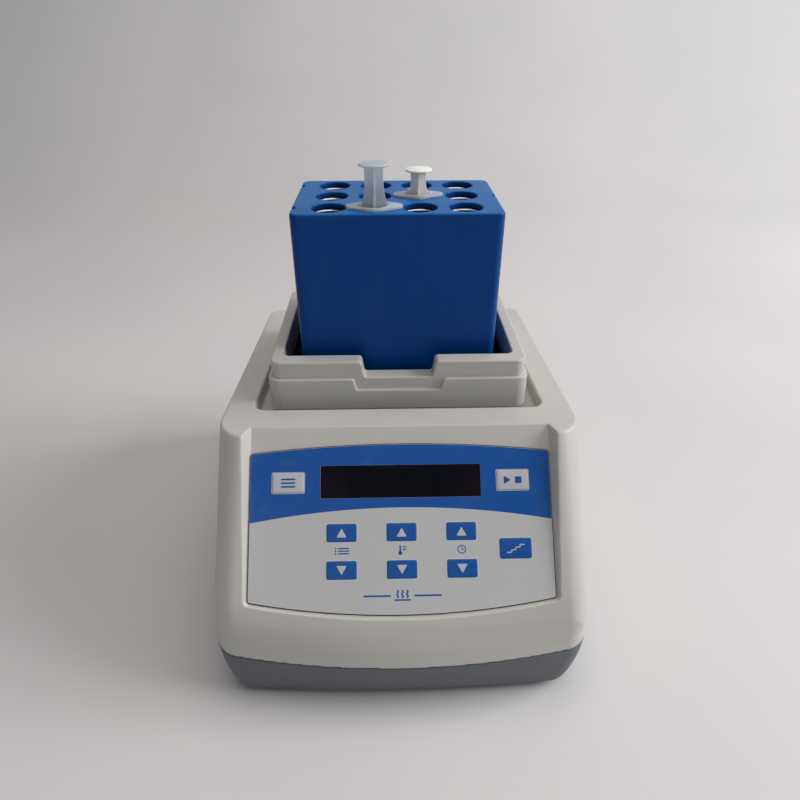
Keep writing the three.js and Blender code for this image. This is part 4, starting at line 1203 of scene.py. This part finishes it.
def steps_mark(x, y, low, high):
    """A line that climbs in three steps."""
    points = []
    for k in range(4):
        points += [(x - 4.4 + 2.2 * k, y - 2.0 + 1.3 * k), (x - 2.2 + 2.2 * k, y - 2.0 + 1.3 * k)]
    return [stroke(points[i:i + 2], 0.6, low, high) for i in range(len(points) - 1)]


def key_mark(key, x, y, low, high):
    if key == "key_option":
        return option_mark(x, y, low, high), "overlay_blue"
    if key == "key_start_stop":
        return start_stop_mark(x, y, low, high), "overlay_blue"
    if key == "key_multi_step":
        return steps_mark(x, y, low, high), "key_white"
    return arrow(x, y, 1 if key.endswith("_up") else -1, low, high), "key_white"


KEY_CROWN = 0.22  # the middle of a key stands this much above its edge
KEY_STEM_Z = (-4.5, -1.5)


def key_cap(key):
    """A key with an eased edge and a crowned middle, on its stem."""
    x, y, half = KEYS[key]
    edge = OVERLAY_FACE + KEY_PROUD - KEY_CROWN
    levels = [(0, -1.6, 1.0), (0, edge - 0.3, 1.0), (0.06, edge - 0.12, 1.0), (0.2, edge - 0.02, 1.0),
              (0.5, edge + 0.05, 1.0)]
    crown_steps = 6
    for k in range(1, crown_steps + 1):
        t = k / crown_steps
        rise = (KEY_CROWN - 0.05) * math.sin(math.pi / 2 * t)
        levels.append((0.5 + (half[1] - 1.7) * t, edge + 0.05 + rise, 1.0 - 0.3 * t))
    rings = [
        [(px, py, z) for px, py in outline_rect(half[0] - inset, half[1] - inset, radius, (x, y), 6)]
        for inset, z, radius in levels
    ]
    low, high = KEY_STEM_Z
    stem = lathe("stem", [(0, low), (2.0, low), (2.0, high), (0, high)], (x, y), 24)
    cap = combine(loft("cap", rings), [stem], "UNION")
    cap.data.shade_smooth()
    cap.data.set_sharp_from_angle(angle=math.radians(30))
    return cap


def make_keys():
    for key, (x, y, _) in KEYS.items():
        cap = key_cap(key)
        white = key in ("key_option", "key_start_stop")
        slot = "key_white" if white else "key_blue"
        cap.data.materials.append(LOOKS[slot])
        top = OVERLAY_FACE + KEY_PROUD
        marks, mark_look = key_mark(key, x, y, top - 0.15, top + 0.06)
        for mark in marks:
            mark.data.materials.append(LOOKS[mark_look])
        made = to_panel(joined(f"{key}_cap", [cap, *marks]))
        finish_piece(made, key)


def make_display():
    outline = outline_rect(*WINDOW["half"], 0.5, (0, WINDOW["y"]), 4)
    lens = prism("display_pane", outline, -0.6, OVERLAY_FACE - 0.1, 0.15, 2)
    soften(lens, 0, angle=25)
    finish_piece(to_panel(lens), "display_window", LOOKS["display_lens"])


# ------------------------------------------------------------------ syringes
SEAT_Z = COVER_HIGH[2] + 0.1
SYRINGES = {
    "large_syringe": {
        "body": 7.9, "bore": 7.1, "length": 80, "flange": (15, 9.4), "thumb": 8.0, "rib": 4.9,
        "lift": 20.7, "fill": 25.7, "plunger": "clear_plastic", "graduations": 10,
    },
    "small_syringe": {
        "body": 6.8, "bore": 6.1, "length": 66, "flange": (13.7, 8.3), "thumb": 7.4, "rib": 4.1,
        "lift": 12.9, "fill": 15.4, "plunger": "ivory_plastic", "graduations": 5,
    },
}
FLANGE_THICK = 1.2


def wing_outline(centre, half_x, half_y, steps=88):
    """A finger flange: the hull of a middle circle and two small end circles."""
    end = 0.48 * half_y
    circles = [(0, half_y), (half_x - end, end), (end - half_x, end)]
    outline = []
    for k in range(steps):
        angle = 2 * math.pi * (k + 0.5) / steps
        cos, sin = math.cos(angle), math.sin(angle)
        offset, radius = max(circles, key=lambda circle: circle[0] * cos + circle[1])
        outline.append((centre[0] + offset + radius * cos, centre[1] + radius * sin))
    return outline


def barrel(name, centre, size):
    """Barrel with its finger flange, shoulder, Luer tip and open bore."""
    bottom = SEAT_Z - size["length"]
    top = SEAT_Z + FLANGE_THICK
    body, bore = size["body"], size["bore"]
    outside = [(0, bottom - 9), (1.9, bottom - 9), (2.3, bottom - 0.8), (2.9, bottom - 0.3),
               (body - 1.4, bottom), *arc((body - 1.2, bottom + 1.2), 1.2, -60, 0, 4),
               (body, SEAT_Z + 0.8), (0, SEAT_Z + 0.8)]
    made = lathe(name, outside, centre, 72)
    flange = prism("flange", wing_outline(centre, *size["flange"]), SEAT_Z, top, 0.3, 3)
    lip = lathe("lip", [(0, top - 0.4), (bore + 1.5, top - 0.4), (bore + 1.5, top + 0.05),
                        (bore + 1.1, top + 0.4), (0, top + 0.4)], centre, 72)
    combine(made, [flange, lip], "UNION")
    inside = [(0, bottom - 10), (1, bottom - 10), (1, bottom + 1.5), (bore, bottom + 3), (bore, top - 0.5),
              (bore + 0.35, top + 0.1), (bore + 0.6, top + 1), (0, top + 1)]
    combine(made, [lathe("bore", inside, centre, 72)])
    return soften(made, 0, angle=30)


def curved_bar(centre, radius, z, half_angle, steps=10):
    """A thin mark that lies on a round wall, in front of its centre."""
    points, faces = [], []
    for s in range(steps + 1):
        angle = -math.pi / 2 - half_angle + 2 * half_angle * s / steps
        for r in (radius - 0.05, radius + 0.03):
            for dz in (-0.15, 0.15):
                points.append((centre[0] + r * math.cos(angle), centre[1] + r * math.sin(angle), z + dz))
    for a in range(0, 4 * steps, 4):
        for p, q in ((2, 3), (1, 0), (0, 2), (3, 1)):
            faces.append((a + p, a + 4 + p, a + 4 + q, a + q))
    last = 4 * steps
    faces += [(0, 2, 3, 1), (last + 1, last + 3, last + 2, last)]
    return link(mesh_of("mark", points, faces))


def graduations(name, centre, size):
    """Dark volume marks down the barrel, every fifth one longer. No figures are printed."""
    bottom = SEAT_Z - size["length"] + 6
    reach = size["length"] - 16
    last = size["graduations"] * 2
    parts = []
    for k in range(last + 1):
        half_angle = math.radians(38 if k % 5 == 0 else 22)
        mark = curved_bar(centre, size["body"] + 0.01, bottom + reach * k / last, half_angle)
        mark.data.materials.append(LOOKS["black_plastic"])
        parts.append(mark)
    return joined(name, parts)


def cross_ribs(name, centre, heights, web=0.7):
    """Two crossed webs through (height, reach) pairs."""
    webs = []
    for turned in (False, True):
        rings = []
        for z, reach in heights:
            half = (web, reach) if turned else (reach, web)
            rings.append([(x, y, z) for x, y in outline_rect(*half, 0.3, centre, 2)])
        webs.append(loft(name, rings))
    return combine(webs[0], webs[1:], "UNION")


def plunger(name, centre, size):
    """Cross-ribbed rod with two guide discs, a flared foot and a domed thumb rest."""
    rod_bottom = SEAT_Z - size["length"] + size["fill"] + 7.1
    thumb_z = SEAT_Z + size["lift"]
    rib, radius, thumb = size["rib"], size["bore"] - 0.4, size["thumb"]
    flare_z, free = SEAT_Z + 2.5, size["lift"] - 2.5
    flare = [
        (flare_z + t * free, rib + 0.08 * free * (1 - t / 0.6) ** 2) for t in (0.06, 0.16, 0.28, 0.42, 0.6)
    ]
    made = cross_ribs(name, centre, [
        (rod_bottom, radius), (flare_z - 0.8, radius - 0.1), *flare,
        (thumb_z - 1.8, rib), (thumb_z - 0.6, rib + 0.3), (thumb_z + 0.4, rib + 1.1),
    ])
    discs = [
        lathe("disc", [(0, z), (radius - 0.2, z), (radius, z + 0.2), (radius, z + thick - 0.2),
                       (radius - 0.2, z + thick), (0, z + thick)], centre, 56)
        for z, thick in ((rod_bottom, 1.4), (rod_bottom + 9, 1.2))
    ]
    dome = [(thumb * math.cos(math.radians(a)) * 0.9, thumb_z + 1.1 + 0.9 * math.sin(math.radians(a)))
            for a in (18, 32, 48, 64, 78)]
    rest = lathe("rest", [(0, thumb_z), (rib + 0.6, thumb_z - 0.1), (thumb - 0.9, thumb_z + 0.05),
                          *arc((thumb - 0.7, thumb_z + 0.75), 0.7, -70, 50, 6), *dome, (0, thumb_z + 2.0)],
                 centre, 72)
    combine(made, discs + [rest], "UNION")
    return soften(made, 0, angle=30)


def seal_profile(bore, low, high):
    """A piston seal: a blunt cone, a lip, a waist and a second lip."""
    waist = bore - 0.6
    return [(0, low), (bore - 1.5, low + 1.3), (bore - 0.3, low + 1.7), (bore, low + 2.1),
            (bore, low + 3.0), (waist, low + 3.5), (waist, high - 1.6), (bore, high - 1.1),
            (bore, high - 0.2), (bore - 0.3, high), (0, high)]


def cap_profile(radius, low, high):
    """A tip cap with a blind socket in its upper end."""
    return [(0, low), (radius - 0.7, low), (radius - 0.2, low + 0.5), (radius, high - 0.3),
            (radius - 0.3, high), (2.5, high), (2.4, high - 0.3), (2.4, low + 3.6), (0, low + 3.6)]


def make_syringes():
    for body, size in SYRINGES.items():
        low, high = box_mm(f"{body}_piston")
        centre = plan_centre(low, high)
        finish_piece(barrel(f"{body}_tube", centre, size), f"{body}_barrel", LOOKS["clear_plastic"])
        extra_piece(graduations(f"{body}_graduations", centre, size), body)
        finish_piece(plunger(f"{body}_rod", centre, size), f"{body}_plunger", LOOKS[size["plunger"]])
        seal = seal_profile(size["bore"] - 0.3, low[2], high[2])
        turned_piece(f"{body}_seal", seal, centre, f"{body}_piston", "piston_rubber")
        low, high = box_mm(f"{body}_cap")
        cap = cap_profile((high[0] - low[0]) / 2, low[2], high[2])
        turned_piece(f"{body}_tip_cap", cap, centre, f"{body}_cap", "ivory_plastic", 48)


# ------------------------------------------------------------------ rear wall
# x to the right as seen from behind, y up, z out of the wall, from the wall's proudest plane.
REAR_FRAME = Matrix.Translation((0, REAR * MM, 0)) @ Matrix(
    ((-1, 0, 0, 0), (0, 0, 1, 0), (0, 1, 0, 0), (0, 0, 0, 1))
)


def to_rear(made):
    made.data.transform(REAR_FRAME)
    return made


def rear_slab(half_x, half_y, radius, low, high, centre, ease=0.0):
    return prism("slab", outline_rect(half_x, half_y, radius, centre, 6), low, high, ease)


def rear_moulding(made, name, node, width):
    """Puts a black moulding on the rear wall in place of a CAD node."""
    made.name = name
    finish_piece(soften(to_rear(made), width), node, LOOKS["black_plastic"])


def make_inlet():
    centre = (-INLET["x"], INLET["z"])
    half_x, half_y = INLET["half"]
    made = rear_slab(half_x + 3, half_y + 3, 2.5, 0.4, 2.8, centre, 0.6)
    combine(made, [rear_slab(half_x - 0.3, half_y - 0.3, 1.5, -24, 1.0, centre)], "UNION")
    socket = [(-12, -1), (12, -1), (12, 11), (7.5, 16), (-7.5, 16), (-12, 11)]
    socket = rounded_polygon([(centre[0] + x, centre[1] + y) for x, y in socket], 1.0)
    well = prism("well", socket, -16, 6)
    drawer = rear_slab(11.5, 5.5, 0.6, -20, 6, (centre[0], centre[1] - 13.5))
    combine(made, [well, drawer])
    rear_moulding(made, "inlet_moulding", "mains_inlet", 0.25)


def make_fuse_drawer():
    middle = (-INLET["x"], INLET["z"] - 13.5)
    made = rear_slab(11, 5, 0.6, -19.5, 3.4, middle, 0.5)
    tray = rear_slab(9, 4.7, 0.4, -18, -1, (middle[0], middle[1] + 1.3))
    tray_open = rear_slab(9, 3, 0.4, -18, -1, (middle[0], middle[1] + 3))
    pull = rear_slab(3, 1.5, 0.4, 1.4, 5, (middle[0], middle[1] + 4.5))
    ridges = [
        rear_slab(7, 0.35, 0.3, 3.0, 3.75, (middle[0], middle[1] + dy), 0.2) for dy in (-3.0, -1.8, -0.6)
    ]
    combine(made, [tray, tray_open, pull])
    combine(made, ridges, "UNION")
    rear_moulding(made, "drawer_moulding", "fuse_drawer", 0.2)


def make_fuse():
    """A glass fuse: a clear tube between two nickel-plated caps, lying along X."""
    low, high = box_mm("fuse")
    radius = (high[2] - low[2]) / 2
    length = high[0] - low[0]
    inner = radius - 0.15
    tube = lathe("glass", [(0, 0.6), (inner, 0.6), (inner, length - 0.6), (0, length - 0.6)], (0, 0), 40)
    tube.data.materials.append(LOOKS["fuse_glass"])
    parts = [tube]
    cap = 4.6
    for base, way in ((0, 1), (length, -1)):
        edge = arc((radius - 0.5, 0.5), 0.5, -90, 0, 4)
        profile = [(0, 0), (radius - 0.5, 0), *edge, (radius, cap), (0, cap)]
        profile = [(r, base + way * z) for r, z in profile]
        end = lathe("end", profile if way > 0 else profile[::-1], (0, 0), 40)
        end.data.materials.append(LOOKS["steel"])
        parts.append(end)
    made = joined("glass_fuse", parts)
    place = Matrix.Translation((low[0] * MM, (low[1] + high[1]) / 2 * MM, (low[2] + high[2]) / 2 * MM))
    made.data.transform(place @ Matrix.Rotation(math.pi / 2, 4, "Y"))
    made.data.shade_smooth()
    made.data.set_sharp_from_angle(angle=math.radians(40))
    finish_piece(made, "fuse")


def make_switch_frame():
    centre = (-SWITCH["x"], SWITCH["z"])
    made = rear_slab(9, 13, 1.5, 0.4, 2.4, centre, 0.5)
    combine(made, [rear_slab(6.7, 10.2, 0.8, -16, 0.9, centre)], "UNION")
    combine(made, [rear_slab(5.5, 9, 0.5, -9, 6, centre)])
    rear_moulding(made, "switch_surround", "power_switch_frame", 0.2)


def make_rocker():
    """The CAD rocker with its edges rounded."""
    refined("power_rocker", LOOKS["black_plastic"], 0.5, 3)


def make_fan_screws():
    """Four pan-head screws that hold the fan, round its slots."""
    spread = 25.0
    for k, (sx, sz) in enumerate(((-1, -1), (1, -1), (-1, 1), (1, 1))):
        made = screw(f"fan_screw_{k + 1}", (0, 0), -1.3, 2.8, 1.5, 14, 1.6)
        # The screw's head faces out of the rear wall.
        place = (FAN["x"] + sx * spread, REAR - 0.2, FAN["z"] + sz * spread)
        out = Matrix.Translation(tuple(c * MM for c in place))
        made.data.transform(out @ Matrix.Rotation(math.pi / 2, 4, "X"))
        made.data.materials.append(LOOKS["steel"])
        extra_piece(made, "casing")


# ------------------------------------------------------------------ CAD shapes with their edges rounded
ROUNDED = {
    "well_liner": ("well_finish", 0.3),
    "heating_plate": ("aluminium", 0.5),
    "heater_mat": ("heater_silicone", 0.3),
    "thermal_cutout": ("steel", 0.4),
    "temperature_probe": ("steel", 0.4),
    "display_module": ("black_plastic", 0.4),
    "control_board": ("circuit_board", 0.15),
    **{f"inlet_pin_{k}": ("brass", 0.4) for k in (1, 2, 3)},
    "fan_frame": ("black_plastic", 0.4),
    "fan_rotor": ("black_plastic", 0.3),
    "power_board": ("circuit_board", 0.2),
    "triac_heat_sink": ("aluminium", 0.25),
    "transformer": ("winding_tape", 1.2),
    "transformer_clamp": ("steel", 0.4),
    **{f"plate_post_{k}": ("steel", 0.3) for k in (1, 2, 3, 4)},
}


def make_inner_pieces():
    for name, (look, width) in ROUNDED.items():
        refined(name, LOOKS[look], width)


# ------------------------------------------------------------------ stage, lights and camera
CAMERA_PLACE = (-0.0061, -0.3201, 0.3116)
CAMERA_PITCH = 57.49
CAMERA_ROLL_ABOUT_Z = -1.33
CAMERA_LENS = 27.46


def make_stage():
    """A bench top that curves up into a backdrop."""
    width, front, back, rise, radius = 3.0, -1.6, 1.5, 2.2, 0.7
    profile = [(front, 0.0)]
    profile += [
        (back - radius + radius * math.sin(math.radians(a)), radius - radius * math.cos(math.radians(a)))
        for a in range(0, 91, 5)
    ]
    profile.append((back, rise))
    points = [(x, y, z) for y, z in profile for x in (-width, width)]
    faces = [(2 * k, 2 * k + 1, 2 * k + 3, 2 * k + 2) for k in range(len(profile) - 1)]
    mesh = bpy.data.meshes.new("bench_and_backdrop")
    mesh.from_pydata(points, [], faces)
    mesh.materials.append(floor_look())
    mesh.shade_smooth()
    link(mesh)


def area_light(name, place, target, size, power, colour=(1, 1, 1), size_y=None):
    light = bpy.data.lights.new(name, "AREA")
    light.energy = power
    light.color = colour
    light.size = size
    if size_y:
        light.shape = "RECTANGLE"
        light.size_y = size_y
    made = bpy.data.objects.new(name, light)
    made.location = place
    made.rotation_euler = (Vector(target) - Vector(place)).to_track_quat("-Z", "Y").to_euler()
    bpy.context.scene.collection.objects.link(made)
    return made


def make_lights():
    """A window to the right and a little behind, a warm ceiling, a weak cool fill and an even pale room."""
    area_light("window", (1.8, -0.02, 1.1), (0, 0, 0.1), 1.3, 38, (0.98, 0.99, 1.0), 1.1)
    area_light("ceiling", (0.15, 0.1, 1.9), (0, 0, 0.05), 1.5, 13.5, (1.0, 0.94, 0.89))
    area_light("fill", (-0.5, -1.7, 0.7), (0, 0, 0.1), 1.4, 2.6, (0.9, 0.97, 1.0))
    world = bpy.data.worlds.new("room")
    world.use_nodes = True
    background = world.node_tree.nodes["Background"]
    background.inputs["Color"].default_value = (0.93, 0.95, 1.0, 1)
    background.inputs["Strength"].default_value = 0.16
    bpy.context.scene.world = world


def make_camera():
    data = bpy.data.cameras.new("camera")
    data.lens = CAMERA_LENS
    data.sensor_width = 36
    data.clip_start = 0.01
    made = bpy.data.objects.new("camera", data)
    made.location = CAMERA_PLACE
    made.rotation_euler = (math.radians(CAMERA_PITCH), 0, math.radians(CAMERA_ROLL_ABOUT_Z))
    bpy.context.scene.collection.objects.link(made)
    bpy.context.scene.camera = made
    bpy.context.scene.view_settings.view_transform = "Standard"


make_camera()
make_shells()
make_block()
make_feet()
make_housing_screws()
make_overlay()
make_keys()
make_display()
make_syringes()
make_inlet()
make_fuse_drawer()
make_fuse()
make_switch_frame()
make_rocker()
make_fan_screws()
make_inner_pieces()
make_stage()
make_lights()
